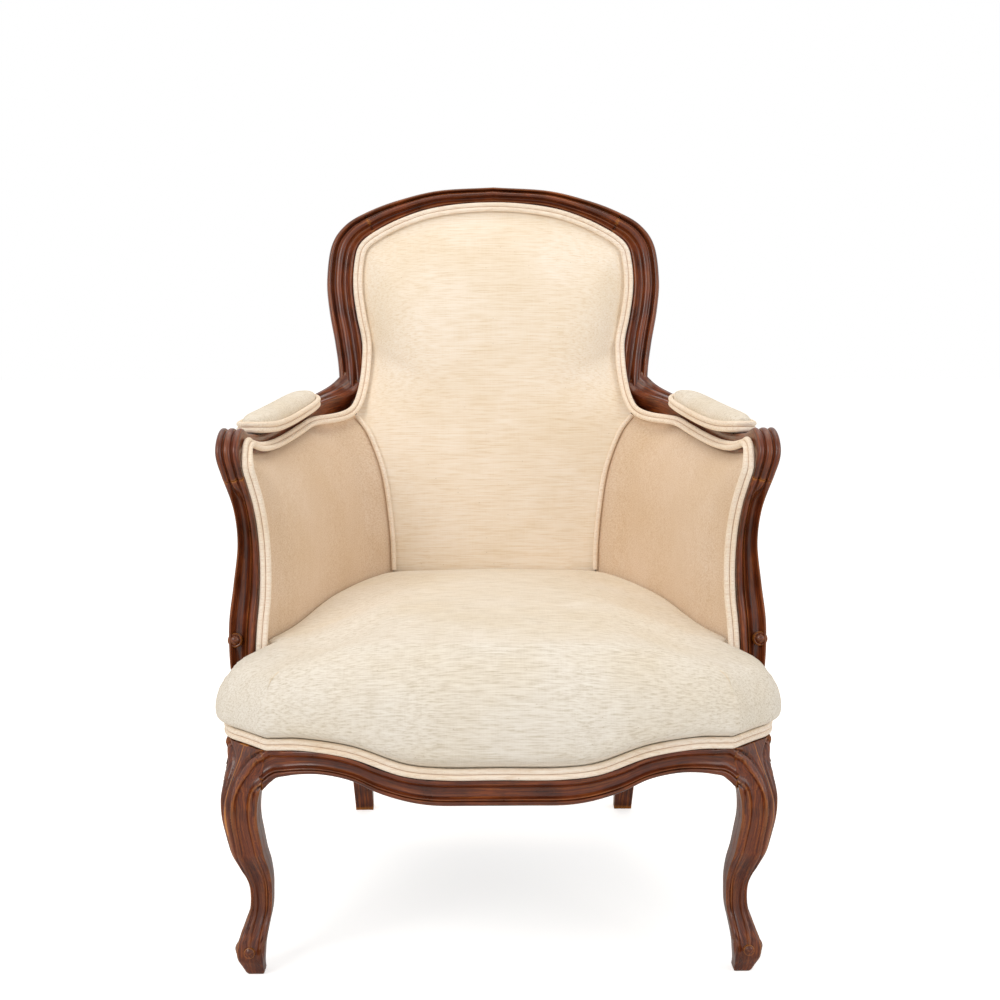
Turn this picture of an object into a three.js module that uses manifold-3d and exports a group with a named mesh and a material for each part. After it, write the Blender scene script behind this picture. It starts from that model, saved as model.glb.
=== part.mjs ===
// A bergere chair: moulded beech frame, sprung seat, upholstered back and closed arms.
// Millimetres, +Z up, the chair faces -Y. Left is the side at -X.
import * as THREE from 'three';
import { mergeVertices } from 'three/addons/utils/BufferGeometryUtils.js';
import Module from 'manifold-3d';

const wasm = await Module();
wasm.setup();

// Overall sizes
const chairHeight = 952; // floor to the top of the crest
const armHeight = 0.6786 * chairHeight; // floor to the top of the arm scroll
const waistAboveArm = 0.0315 * chairHeight; // arm scroll up to the waist of the back
const seatHeight = 0.4223 * chairHeight; // floor to the line where seat and back meet
const railHeight = 0.2983 * chairHeight; // floor to the upper edge of the show wood at the front corners
const armReach = 342; // centre line to the outer face of the arm scroll
const backHalfWidth = 0.731 * armReach; // centre line to the widest point of the back
const legReach = 0.889 * armReach; // centre line to the middle of the knee
const seatDepth = 490; // front feet to the face of the back at seat height
const railBulge = 40; // how far the front rail swells ahead of its ends
const railDip = 26; // how far the rail's welt line drops from the corners to the middle
const backRakeShare = 0.25; // backward lean for each unit of height
const legKick = 84; // how far the rear foot stands behind the narrowest point of the leg

// Timber sizes
const stileShow = 39; // moulded face of a back post
const crestShow = 24; // moulded face at the middle of the crest
const postDepth = 30;
const postBelow = 42; // face of a back post below the arm
const mouldDepth = 8; // deepest hollow of the moulding
const rebateWidth = 16; // strip beside the moulding that takes cover and welt
const rebateDepth = 9;
const railThickness = 32;
const railShow = 36; // moulded height of the front rail at its arches
const railTuck = 44; // plain height above the moulding, under the upholstery
const sideRailThickness = 28;
const railFront = -27; // front face of the front rail at its ends
const sideRailBow = 16; // how far a side rail swells outward
const sideRailStart = 22; // its front end, behind the middle of the front leg
const sideRailInset = 4; // how far it stands back from the outer face of the leg
const legHalfWidth = 25;
const tenonHalf = 13; // half width of the plain block on top of a front leg
const armWidth = 34;
const armThickness = 30;
const lowerRailHeight = 40;
const blockReach = 124; // how far a corner block runs along each rail

// Upholstery sizes
const coverThickness = 2;
const cordDiameter = 7;
const seatCrown = 20; // rise of the seat's middle over its line at the back
const backCrown = 36; // how far the middle of the back stands ahead of the posts
const edgeRoll = 15; // how far the seat's front edge swells ahead of the show wood
const sideDrop = 8; // how much lower the seat runs along its sides
const burlapRise = 22; // burlap over the tops of the rails
const postSpace = 9; // the seat's stuffing is cut back this far round the arm posts
const armSwell = 16;
const armFillDepth = 22; // how far behind its face an arm's upholstery reaches
const seamTuck = 1.2; // how far the back cover's edge stays inside the seam
const padThickness = 27;
const padWidth = 48;
const padShift = 6; // how far the pads stand in from the middle of the arms
const webbingThickness = 2.4;
const webbingWidth = 50;
const burlapThickness = 1.6;
const springDiameter = 0.269 * armReach;
const springWaist = 58;
const springWire = 4.2;
const springTurns = 4;
const springSteps = 5; // steps in a turn
const springSides = 3;
const springGrid = 3; // springs along and across
const clearance = 0.4; // gap between touching pieces
const woodGrow = 0.7; // extra skin with which a member cuts what butts against it
const weldReach = 0.001; // points closer than this are one point
const shortEdge = 0.15; // edges shorter than this are closed up after a cut

// Finishes
const walnut = new THREE.MeshStandardMaterial({ color: 0x5a2a17, roughness: 0.35, metalness: 0 });
const plainBeech = new THREE.MeshStandardMaterial({ color: 0xb98a5c, roughness: 0.7, metalness: 0 });
const creamCloth = new THREE.MeshStandardMaterial({ color: 0xf1e2c6, roughness: 0.9, metalness: 0 });
const creamCord = new THREE.MeshStandardMaterial({ color: 0xf4e4c6, roughness: 0.85, metalness: 0 });
const horsehair = new THREE.MeshStandardMaterial({ color: 0x8f7a5c, roughness: 1, metalness: 0 });
const jute = new THREE.MeshStandardMaterial({ color: 0xa98c5f, roughness: 1, metalness: 0 });
const springSteel = new THREE.MeshStandardMaterial({ color: 0x9a8358, roughness: 0.45, metalness: 1 });
const blackCambric = new THREE.MeshStandardMaterial({ color: 0x26241f, roughness: 1, metalness: 0 });

// Heights and slopes that follow from the sizes above
const waistHeight = armHeight + waistAboveArm;
const backRise = chairHeight - waistHeight;
const armRise = armHeight - railHeight;
const rakeLength = Math.hypot(1, backRakeShare);
const rakedBack = new THREE.Vector3(0, 1 / rakeLength, -backRakeShare / rakeLength);
const rakedFace = (z) => seatDepth + backRakeShare * (z - seatHeight);
const webbingTop = railHeight - railShow * 0.55;
const mix = THREE.MathUtils.lerp;

// Joins rings of points into a closed body. Both ends are closed by fans round their middle.
function skin(rings) {
  const count = rings[0].length;
  const points = rings.flat();
  const middles = [rings[0], rings[rings.length - 1]].map((ring) =>
    ring.reduce((sum, p) => sum.add(p), new THREE.Vector3()).divideScalar(count));
  const [first, last] = [points.length, points.length + 1];
  points.push(...middles);
  const faces = [];
  for (let i = 0; i + 1 < rings.length; i++) {
    for (let j = 0; j < count; j++) {
      const a = i * count + j;
      const b = i * count + (j + 1) % count;
      faces.push([a, b, b + count], [a, b + count, a + count]);
    }
  }
  const start = (rings.length - 1) * count;
  for (let j = 0; j < count; j++) {
    const next = (j + 1) % count;
    faces.push([first, next, j], [last, start + j, start + next]);
  }
  return closed(points, faces);
}

// Builds the geometry and turns it inside out where its faces point inward
function closed(points, faces) {
  let volume = 0;
  for (const [a, b, c] of faces) {
    volume += points[a].dot(new THREE.Vector3().crossVectors(points[b], points[c]));
  }
  const order = volume < 0 ? faces.map(([a, b, c]) => [a, c, b]) : faces;
  const geometry = new THREE.BufferGeometry();
  geometry.setAttribute('position', new THREE.Float32BufferAttribute(points.flatMap((p) => p.toArray()), 3));
  geometry.setIndex(order.flat());
  return geometry;
}

// A sheet of even thickness from a grid of points. Each point is pushed back along its own direction.
function sheet(rows, backs, wrap = false) {
  const [high, wide] = [rows.length, rows[0].length];
  const points = [...rows.flat(), ...backs.flat()];
  const under = high * wide;
  const faces = [];
  const across = wrap ? wide : wide - 1;
  for (let i = 0; i + 1 < high; i++) {
    for (let j = 0; j < across; j++) {
      const [a, b] = [i * wide + j, i * wide + (j + 1) % wide];
      faces.push([a, b, b + wide], [a, b + wide, a + wide]);
      faces.push([under + a, under + b + wide, under + b], [under + a, under + a + wide, under + b + wide]);
    }
  }
  const edge = [];
  for (let j = 0; j + 1 < wide; j++) edge.push([j, j + 1]);
  for (let i = 0; i + 1 < high; i++) edge.push([(i + 1) * wide - 1, (i + 2) * wide - 1]);
  for (let j = wide - 1; j > 0; j--) edge.push([(high - 1) * wide + j, (high - 1) * wide + j - 1]);
  for (let i = high - 1; i > 0; i--) edge.push([i * wide, (i - 1) * wide]);
  for (const [a, b] of edge) faces.push([a, under + b, b], [a, under + a, under + b]);
  return closed(points, faces);
}

function solidOf(geometry) {
  const bare = geometry.clone();
  bare.deleteAttribute('normal');
  bare.deleteAttribute('uv');
  const merged = mergeVertices(bare, weldReach);
  const mesh = new wasm.Mesh({
    numProp: 3,
    vertProperties: new Float32Array(merged.attributes.position.array),
    triVerts: new Uint32Array(merged.index.array),
  });
  return new wasm.Manifold(mesh);
}

function geometryOf(solid) {
  const mesh = solid.getMesh();
  const geometry = new THREE.BufferGeometry();
  geometry.setAttribute('position', new THREE.BufferAttribute(new Float32Array(mesh.vertProperties), 3));
  geometry.setIndex(new THREE.BufferAttribute(new Uint32Array(mesh.triVerts), 1));
  return geometry;
}

// Closes up the very short edges that a cut leaves behind
function withoutShortEdges(geometry) {
  const { attributes: { position }, index: { array } } = geometry;
  const pointAt = (i) => new THREE.Vector3().fromBufferAttribute(position, i);
  const standIn = Array.from({ length: position.count }, (_, i) => i);
  const kept = (i) => (standIn[i] === i ? i : kept(standIn[i]));
  array.forEach((corner, k) => {
    const [a, b] = [kept(corner), kept(array[k % 3 === 2 ? k - 2 : k + 1])];
    if (a !== b && pointAt(a).distanceTo(pointAt(b)) < shortEdge) standIn[Math.max(a, b)] = Math.min(a, b);
  });
  const faces = [];
  for (let k = 0; k < array.length; k += 3) {
    const face = [kept(array[k]), kept(array[k + 1]), kept(array[k + 2])];
    if (new Set(face).size === 3) faces.push(...face);
  }
  geometry.setIndex(faces);
  return geometry;
}

// Cuts a piece by others and keeps its largest remaining body
function cutBy(geometry, ...cutters) {
  let solid = solidOf(geometry);
  for (const cutter of cutters) solid = solid.subtract(solidOf(cutter));
  const bodies = solid.decompose();
  bodies.sort((a, b) => b.volume() - a.volume());
  const tidied = withoutShortEdges(geometryOf(bodies[0]));
  return solidOf(tidied).decompose().length === 1 ? tidied : geometryOf(bodies[0]);
}

function mirrored(geometry) {
  const copy = geometry.clone();
  const place = copy.attributes.position;
  for (let i = 0; i < place.count; i++) place.setX(i, -place.getX(i));
  const index = copy.index.array.slice();
  for (let i = 0; i < index.length; i += 3) [index[i], index[i + 1]] = [index[i + 1], index[i]];
  copy.setIndex(new THREE.BufferAttribute(index, 1));
  return copy;
}

const mirrorPoint = (p) => new THREE.Vector3(-p.x, p.y, p.z);

// A smooth line through points, with other values that vary along it in step
function lineOf(points, values) {
  const path = new THREE.CatmullRomCurve3(points, false, 'catmullrom', 0.5);
  const tables = [];
  for (let k = 0; k < values[0].length; k += 3) {
    const triples = values.map((row) => new THREE.Vector3(row[k], row[k + 1] ?? 0, row[k + 2] ?? 0));
    tables.push(new THREE.CatmullRomCurve3(triples, false, 'catmullrom', 0.5));
  }
  const last = points.length - 1;
  return {
    last,
    at(step) {
      const t = THREE.MathUtils.clamp(step / last, 0, 1);
      const row = tables.flatMap((table) => table.getPoint(t).toArray());
      return { place: path.getPoint(t), along: path.getTangent(t), row };
    },
  };
}

// The part of a direction that is square to a line
function squareTo(direction, along) {
  return direction.clone().addScaledVector(along, -direction.dot(along)).normalize();
}

const offset = (p, ...moves) =>
  moves.reduce((sum, [direction, length]) => sum.addScaledVector(direction, length), p.clone());

const spread = (from, to, count) => Array.from({ length: count + 1 }, (_, i) => mix(from, to, i / count));

// Moves every side of a closed section outward by the same amount
function swell(section, grow) {
  if (!grow) return section;
  const count = section.length;
  const area = section.reduce((sum, [u, v], i) => {
    const [nextU, nextV] = section[(i + 1) % count];
    return sum + u * nextV - nextU * v;
  }, 0);
  const outward = (from, to) => {
    const [du, dv] = [to[0] - from[0], to[1] - from[1]];
    const length = Math.hypot(du, dv) * Math.sign(area);
    return [dv / length, -du / length];
  };
  return section.map((corner, i) => {
    const a = outward(section[(i + count - 1) % count], corner);
    const b = outward(corner, section[(i + 1) % count]);
    const reach = grow / (1 + a[0] * b[0] + a[1] * b[1]);
    return [corner[0] + (a[0] + b[0]) * reach, corner[1] + (a[1] + b[1]) * reach];
  });
}

// Back posts and crest
// Outer face line of the left half, from the middle of the crest to the floor.
// Shares: half width, rise over the waist, show face, depth, relief.
const upperLineShares = [
  [0, 1.01, 0, 0.93], [-0.328, 0.992, 0.08, 0.93], [-0.572, 0.94, 0.3, 0.95], [-0.752, 0.88, 0.6, 1],
  [-0.89, 0.807, 0.85, 1], [-0.974, 0.695, 1, 1], [-1, 0.51, 1, 1], [-0.985, 0.35, 1, 1],
  [-0.948, 0.17, 1, 1], [-0.924, 0, 1, 1.05],
];
// Shares: half width, height under the waist, width, depth, relief, kick of the leg
const lowerLineShares = [
  [-0.912, 0.87, 1, 1.15, 0.4, 0], [-0.9, 0.72, 1, 1.25, 0.1, 0], [-0.888, 0.56, 1, 1.25, 0.06, 0.02],
  [-0.882, 0.42, 1, 1.2, 0.06, 0.12], [-0.876, 0.28, 0.84, 1.1, 0.06, 0.31],
  [-0.868, 0.13, 0.7, 1, 0.06, 0.68], [-0.856, 0, 0.62, 0.87, 0.06, 1.15],
];
const kneeHeight = 0.42 * waistHeight;

function backLine() {
  const points = [];
  const values = [];
  for (const [xShare, riseShare, showShare, depthShare] of upperLineShares) {
    const z = waistHeight + riseShare * backRise;
    points.push(new THREE.Vector3(xShare * backHalfWidth, rakedFace(z), z));
    values.push([mix(crestShow, stileShow, showShare), depthShare * postDepth, 1, rebateWidth, 0, 0]);
  }
  for (const [xShare, heightShare, widthShare, depthShare, reliefShare, kickShare] of lowerLineShares) {
    const z = heightShare * waistHeight;
    const y = rakedFace(Math.max(z, kneeHeight)) + kickShare * legKick;
    points.push(new THREE.Vector3(xShare * backHalfWidth, y, z));
    const rebate = reliefShare * rebateWidth;
    values.push([widthShare * postBelow, depthShare * postDepth, reliefShare, rebate, 0, 0]);
  }
  return lineOf(points, values);
}

// Moulded face from the outer edge to the rebate: share of the show face, share of the moulding's depth
const mouldShares = [
  [0, 1.5], [0.08, 0.4], [0.2, 0.75], [0.31, 0.1], [0.46, 0.1], [0.57, 0.8], [0.75, 0.85], [0.88, 0.3],
  [1, 0.45],
];
const postLine = backLine();
const jointStepShare = 3.15; // where crest and post meet, counted along the line's points

function postFrame(step) {
  const { place, along, row } = postLine.at(step);
  const behind = squareTo(rakedBack, along);
  const inward = new THREE.Vector3().crossVectors(along, behind);
  const [show, depth, relief, rebate] = row;
  return { place, along, behind, inward, show, depth, relief, rebate };
}

function postRing(step, grow = 0) {
  const { place, along, behind, inward, show, depth, relief, rebate } = postFrame(step);
  const section = mouldShares.map(([u, v]) => [u * show, v * mouldDepth * relief]);
  section.push([show, Math.max(rebateDepth * relief, mouldDepth * relief * 0.6)]);
  section.push([show + rebate, rebateDepth * relief], [show + rebate * 0.9, depth]);
  section.push([show * 0.12, depth], [0, depth * 0.8]);
  const ring = swell(section, grow).map(([u, v]) => offset(place, [inward, u], [behind, v]));
  if (step < postLine.last) return ring;
  return ring.map((p) => offset(p, [along, -p.z / along.z]));
}

function crestRail(grow = 0) {
  const steps = [jointStepShare, 2.7, 2.3, 2, 1.6, 1.2, 0.8, 0.4, 0];
  const left = steps.map((step) => postRing(step, grow));
  const right = left.slice(0, -1).reverse().map((ring) => ring.map(mirrorPoint));
  return skin([...left, ...right]);
}

function backPost(grow = 0) {
  const gapStep = clearance / (0.2 * backHalfWidth);
  const steps = [3.6, 4, 4.5, 5, 5.5, 6, 7, 8, 8.6, 9, 10, 11.5, 13, 14, 15];
  return skin([jointStepShare + gapStep, ...steps, postLine.last].map((step) => postRing(step, grow)));
}

const backPosts = () => [backPost(woodGrow), mirrored(backPost(woodGrow))];

// Arms
// Middle line of the left arm from the back post to its foot on the side rail.
// Shares: arm reach, seat depth, arm rise over the rail, width, thickness, then the way the face looks.
const armShares = [
  [-0.622, 1.17, 1.11, 1.12, 0.75, 0, -0.95, 0.3], [-0.672, 1.12, 1.012, 1.1, 0.95, -0.1, -0.8, 0.55],
  [-0.76, 0.995, 0.957, 1.02, 1, 0, -0.35, 0.93], [-0.832, 0.82, 0.927, 1, 1, 0.05, 0, 1],
  [-0.88, 0.63, 0.908, 1, 1, 0.05, 0, 1], [-0.912, 0.43, 0.905, 1, 1, 0, 0, 1],
  [-0.929, 0.28, 0.925, 0.9, 1.05, 0, 0, 1], [-0.936, 0.2, 0.952, 0.85, 1.1, 0, -0.3, 1],
  [-0.94, 0.163, 0.92, 0.84, 1.1, 0, -1, 0.2], [-0.928, 0.172, 0.86, 0.76, 1.08, 0, -1, 0],
  [-0.902, 0.22, 0.74, 0.7, 1.05, 0, -1, -0.2], [-0.896, 0.26, 0.6, 0.76, 1.05, 0, -1, 0],
  [-0.906, 0.265, 0.45, 0.95, 1.1, 0, -1, 0], [-0.918, 0.245, 0.32, 1, 1.15, 0, -1, 0.1],
  [-0.918, 0.225, 0.19, 0.9, 1.15, 0, -1, 0.1], [-0.905, 0.215, 0.1, 0.8, 1.1, 0, -1, 0],
];
const armLine = lineOf(
  armShares.map(([x, y, z]) => new THREE.Vector3(x * armReach, y * seatDepth, railHeight + z * armRise)),
  armShares.map(([, , , wide, thick, ...face]) => [wide * armWidth, thick * armThickness, 0, ...face]),
);
const seamStepShare = 9.1; // where the scroll ends and the arm post begins

function armFrame(step) {
  const { place, along, row } = armLine.at(step);
  const face = squareTo(new THREE.Vector3(row[3], row[4], row[5]), along);
  const inner = new THREE.Vector3().crossVectors(along, face);
  if (inner.x < 0) inner.negate();
  return { place, along, face, inner, wide: row[0], thick: row[1] };
}

// Section of an arm: share of the half width (inner side positive), share of the half thickness
const armSectionShares = [
  [-1, 0.35], [-0.86, 0.86], [-0.6, 1], [-0.42, 0.8], [0, 0.72], [0.42, 0.8], [0.6, 1], [0.9, 0.9],
  [1, 0.4], [1, -0.7], [0.75, -1], [-0.7, -1], [-1, -0.6],
];

function armRing(step, grow = 0) {
  const { place, face, inner, wide, thick } = armFrame(step);
  const section = armSectionShares.map(([b, n]) => [b * wide / 2, n * thick / 2]);
  return swell(section, grow).map(([b, n]) => offset(place, [inner, b], [face, n]));
}

function armRest(grow = 0) {
  const steps = [0, 1, 2, 3, 4, 5, 6, 6.6, 7.1, 7.5, 7.9, 8.3, 8.7, seamStepShare];
  return skin(steps.map((step) => armRing(step, grow)));
}

function armPost(grow = 0) {
  const gapStep = clearance / (0.06 * armRise);
  return skin([seamStepShare + gapStep, 9.6, 10, 10.5, 11, 11.5, 12, 12.5, 13, 13.5, 14, armLine.last]
    .map((step) => armRing(step, grow)));
}

// Front legs
// Shares: height, middle across, half width. The knee swells towards the corner, the ankle draws in.
const legShares = [
  [0, 0.96, 0.43], [0.035, 0.968, 0.5], [0.078, 0.975, 0.62], [0.13, 0.974, 0.66], [0.2, 0.957, 0.6],
  [0.27, 0.939, 0.54], [0.35, 0.936, 0.54], [0.405, 0.941, 0.6], [0.475, 0.957, 0.7], [0.54, 0.971, 0.77],
  [0.61, 0.978, 0.79], [0.7, 0.99, 0.81], [0.78, 0.995, 0.87], [0.85, 0.988, 0.96], [0.93, 0.981, 1],
  [1, 0.978, 1],
];
const legForwardShare = 1.3; // how much further the leg moves forward than sideways, along its curve
const legRestShare = 0.974; // the share of the reach at which the leg stands on its own middle line
// Section: across (inner side positive), depth (back positive), as shares of the half width
const legSectionShares = [
  [1, -0.75], [0.8, -1], [0.55, -0.86], [0.1, -0.76], [-0.3, -0.84], [-0.42, -0.98], [-0.74, -0.9],
  [-0.9, -0.74], [-0.98, -0.42], [-0.84, -0.3], [-0.76, 0.1], [-0.86, 0.55], [-1, 0.8], [-0.75, 1],
  [0.9, 0.9],
];

function frontLeg(grow = 0) {
  const ringAt = (z, middleShare, halfShare) => {
    const across = -middleShare * legReach;
    const depth = -(middleShare - legRestShare) * legReach * legForwardShare;
    const half = halfShare * legHalfWidth;
    return swell(legSectionShares.map(([p, q]) => [across + p * half, depth + q * half]), grow)
      .map(([x, y]) => new THREE.Vector3(x, y, z));
  };
  const rings = legShares.map(([heightShare, middleShare, halfShare]) =>
    ringAt(heightShare * railHeight, middleShare, halfShare));
  const inset = legHalfWidth - tenonHalf;
  for (const z of [railHeight + clearance, railHeight + railTuck]) {
    const [, middleShare] = legShares[legShares.length - 1];
    const block = ringAt(z, middleShare, tenonHalf / legHalfWidth);
    rings.push(block.map((p) => offset(p, [new THREE.Vector3(1, 1, 0), inset])));
  }
  return skin(rings);
}

// Seat rails
// Plan and height of the front rail's upper show edge. Shares: leg reach, bulge, dip, then the rail's height.
const frontRailShares = [
  [-0.93, 0, 0.02, 1.25], [-0.84, 0.15, -0.04, 1.02], [-0.75, 0.3, 0, 0.83], [-0.66, 0.42, 0.08, 0.84],
  [-0.56, 0.55, 0.22, 0.9], [-0.46, 0.67, 0.45, 0.98], [-0.365, 0.78, 0.66, 1.01], [-0.29, 0.87, 0.78, 0.98],
  [-0.22, 0.94, 0.84, 0.92], [-0.12, 0.98, 0.86, 0.88], [0, 1, 0.85, 0.86],
];
const railMouldShares = [
  [0, 0.9], [0.1, 0.2], [0.2, 0.02], [0.29, 0.12], [0.4, 0.75], [0.75, 0.8], [0.86, 0.25], [1, 0.15],
];

// Section of a rail from its lower edge up: depth behind the face, height
function railSection(top, show, thickness, grow) {
  const roof = railHeight + railTuck;
  const section = railMouldShares.map(([v, u]) => [u * mouldDepth, top - show + v * show]);
  section.push([rebateDepth, top], [rebateDepth, roof], [thickness, roof], [thickness, top - show]);
  return swell(section, grow);
}

function frontRailRing([xShare, bulgeShare, dipShare, heightShare], grow) {
  const y = railFront - bulgeShare * railBulge;
  return railSection(railHeight - dipShare * railDip, heightShare * railShow, railThickness, grow)
    .map(([u, z]) => new THREE.Vector3(xShare * legReach, y + u, z));
}

function frontRailBlank(grow = 0) {
  const left = frontRailShares.map((row) => frontRailRing(row, grow));
  const right = left.slice(0, -1).reverse().map((ring) => ring.map(mirrorPoint));
  return skin([...left, ...right]);
}

const frontRail = () => cutBy(frontRailBlank(), frontLeg(woodGrow), mirrored(frontLeg(woodGrow)));

// Outer face of a side rail from the leg to the back post. Shares: way back, bow, height of the show face.
const sideRailShares = [
  [0, 0, 1.2], [0.07, 0.5, 0.98], [0.16, 0.83, 0.86], [0.3, 1, 0.84], [0.5, 0.9, 0.86], [0.7, 0.62, 0.92],
  [0.88, 0.28, 1.1], [1, 0.05, 1.3],
];
const railStepShare = 13; // where the rails meet the back post, counted along the post's line

function sideRailEnds() {
  const back = postFrame(railStepShare).place;
  return {
    front: new THREE.Vector2(-(legReach + legHalfWidth) + sideRailInset, sideRailStart),
    back: new THREE.Vector2(back.x + sideRailInset, back.y + postDepth / 2),
  };
}

function sideRailRing([wayShare, bowShare, heightShare], grow) {
  const { front, back } = sideRailEnds();
  const x = mix(front.x, back.x, wayShare) - bowShare * sideRailBow;
  const y = mix(front.y, back.y, wayShare);
  return railSection(railHeight, heightShare * railShow, sideRailThickness, grow)
    .map(([u, z]) => new THREE.Vector3(x + u, y, z));
}

const sideRailBlank = (grow = 0) => skin(sideRailShares.map((row) => sideRailRing(row, grow)));
const sideRail = () => cutBy(sideRailBlank(), frontLeg(woodGrow), backPost(woodGrow), armPost(woodGrow));

const box = (from, to) => new THREE.BoxGeometry(to.x - from.x, to.y - from.y, to.z - from.z)
  .translate((from.x + to.x) / 2, (from.y + to.y) / 2, (from.z + to.z) / 2);
const point = (x, y, z) => new THREE.Vector3(x, y, z);

function rearRail(grow = 0) {
  const { place, depth, show } = postFrame(railStepShare);
  const half = -place.x - show;
  const inset = depth * 0.15;
  const blank = box(point(-half - show / 2, place.y + inset - grow, railHeight - railShow - grow),
    point(half + show / 2, place.y + inset + sideRailThickness + grow, railHeight + railTuck + grow));
  if (grow) return blank;
  return cutBy(blank, ...backPosts(), sideRailBlank(woodGrow),
    mirrored(sideRailBlank(woodGrow)));
}

// A rail between the posts just above the seat, which takes the lower edge of the back's upholstery
const backPanelDepth = 0.8 * postDepth; // how far the outside back lies behind the frame's face

function lowerBackRail() {
  const low = seatHeight + lowerRailHeight * 0.4;
  const rear = backPanelDepth - clearance;
  const corners = [[rebateDepth, 0], [rebateDepth, 1], [rear, 1], [rear, 0]];
  const ringAt = (x) => corners.map(([depth, heightShare]) => {
    const z = low + heightShare * lowerRailHeight;
    return point(x, rakedFace(z) + depth, z);
  });
  const half = -postFrame(11).place.x - postBelow / 2;
  return cutBy(skin([ringAt(-half), ringAt(half)]), ...backPosts());
}

// Corner blocks
// Glued across the corners inside the rails
function cornerBlock(corner, alongX, alongY) {
  const low = webbingTop + clearance;
  const corners = [[0, 0], [alongX, 0], [0, alongY]].map(([dx, dy]) => [corner.x + dx, corner.y + dy]);
  const ringAt = (z) => corners.map(([x, y]) => point(x, y, z));
  return skin([ringAt(low), ringAt(railHeight + railTuck - 2 * clearance)]);
}

function frontBlock() {
  const inside = point(-legReach, railFront + railThickness, 0);
  const block = cornerBlock(inside, blockReach, blockReach);
  const rails = [frontRailBlank(woodGrow), sideRailBlank(woodGrow)];
  return cutBy(block, frontLeg(woodGrow), ...rails, armPost(woodGrow));
}

function rearBlock() {
  const { place } = postFrame(railStepShare);
  const inside = point(place.x, place.y + postDepth * 0.15 - clearance, 0);
  const block = cornerBlock(inside, blockReach * 0.8, -blockReach * 0.8);
  return cutBy(block, backPost(woodGrow), sideRailBlank(woodGrow));
}

// Inside of the arms
// Plan of the inside covers' lower edge from arm post to seam. Shares: arm reach, seat depth.
const tubFloorShares = [[-0.812, 0.33], [-0.766, 0.455], [-0.7, 0.6], [-0.62, 0.73], [-0.52, 0.86]];
// Seam between arm and back from the bottom up. Shares: arm reach, seat depth, arm rise over the rail.
const seamShares = [
  [-0.427, 0.935, 0.135], [-0.433, 0.945, 0.32], [-0.44, 0.957, 0.47], [-0.474, 0.99, 0.7],
  [-0.54, 1.03, 0.86], [-0.607, 1.062, 0.936],
];
const tubFloor = railHeight + railTuck + 3 * clearance;
const seamLine = new THREE.CatmullRomCurve3(seamShares.map(([x, y, z], i) =>
  point(x * armReach, y * seatDepth, i ? railHeight + z * armRise : tubFloor)), false, 'catmullrom', 0.5);

// Outer edge of the inside arm cover, beside the arm post and under the arm's welt
function armCoverEdge(step) {
  const { place, face, inner, wide, thick } = armFrame(step);
  const onPost = THREE.MathUtils.smoothstep(step, 7.6, 8.8);
  const behindWelt = mix(-0.3 * thick, thick / 2 - cordDiameter - 2 * clearance, onPost);
  return offset(place, [inner, wide / 2 + 2 * clearance], [face, behindWelt]);
}

// The cover's edges along the post and along the arm, counted along the arm's line
const tubFrontStepShares = [14.6, 13.5, 12.5, 11.5, 10.5, 9.5, 8.8];
const tubTopStepShares = [8.8, 7.2, 6.2, 5, 4, 3, 2.2];
const tubFront = new THREE.CatmullRomCurve3(tubFrontStepShares.map(armCoverEdge));
const tubTop = new THREE.CatmullRomCurve3([...tubTopStepShares.map(armCoverEdge), seamLine.getPoint(1)]);
const tubBase = new THREE.CatmullRomCurve3([
  tubFront.getPoint(0).setZ(tubFloor),
  ...tubFloorShares.map(([x, y]) => point(x * armReach, y * seatDepth, tubFloor)),
  seamLine.getPoint(0),
]);

// A point on the inside of the left arm: around from the arm post (0) to the seam (1), up from 0 to 1
function tubPoint(around, up) {
  const edges = [tubFront, seamLine].map((line) => line.getPoint(up));
  edges.push(...[tubBase, tubTop].map((line) => line.getPoint(around)));
  const ruled = (k) => edges[0].getComponent(k) * (1 - around) + edges[1].getComponent(k) * around
    + edges[2].getComponent(k) * (1 - up) + edges[3].getComponent(k) * up;
  const corners = [tubBase.getPoint(0), tubBase.getPoint(1), tubTop.getPoint(0), tubTop.getPoint(1)];
  const bilinear = (k) => mix(mix(corners[0].getComponent(k), corners[1].getComponent(k), around),
    mix(corners[2].getComponent(k), corners[3].getComponent(k), around), up);
  return new THREE.Vector3(...[0, 1, 2].map((k) => ruled(k) - bilinear(k)));
}

// Level direction from the middle of the chair's arm out through its side
function tubOutward(around, up) {
  const small = 0.02;
  const [a, b] = [tubPoint(Math.max(around - small, 0), up), tubPoint(Math.min(around + small, 1), up)];
  return new THREE.Vector3(-(b.y - a.y), b.x - a.x, 0).normalize();
}

const easeIn = (share) => Math.sin(Math.PI * Math.min(share, 1) / 2);
const swellAt = (around, up) =>
  armSwell * easeIn(around / 0.4) * easeIn((1 - around) / 0.8) * easeIn((1 - up) / 0.35);

// Inside surface of the left arm, moved outward by a depth
function tubGrid(columns, rows, depth) {
  return rows.map((up) => columns.map((around) =>
    offset(tubPoint(around, up), [tubOutward(around, up), depth - swellAt(around, up)])));
}

const tubColumns = [0, 0.05, 0.13, 0.28, 0.46, 0.64, 0.82, 0.95, 1];
const tubRows = [0, 0.35, 0.62, 0.82, 0.94, 1];

const insideArmCover = () => cutBy(
  sheet(tubGrid(tubColumns, tubRows, 0), tubGrid(tubColumns, tubRows, coverThickness)),
  armRest(woodGrow), armPost(woodGrow), backPost(woodGrow));
function insideArmStuffing() {
  const [columns, rows] = [tubColumns.slice(1, -1), tubRows.slice(0, -1)];
  const [front, rear] = [coverThickness + clearance, armFillDepth];
  const blank = sheet(tubGrid(columns, rows, front), tubGrid(columns, rows, rear));
  return cutBy(blank, armRest(woodGrow), armPost(woodGrow), backPost(woodGrow), sideRailBlank(woodGrow),
    outsideArmSheet(armSwell, coverThickness + clearance));
}

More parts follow.
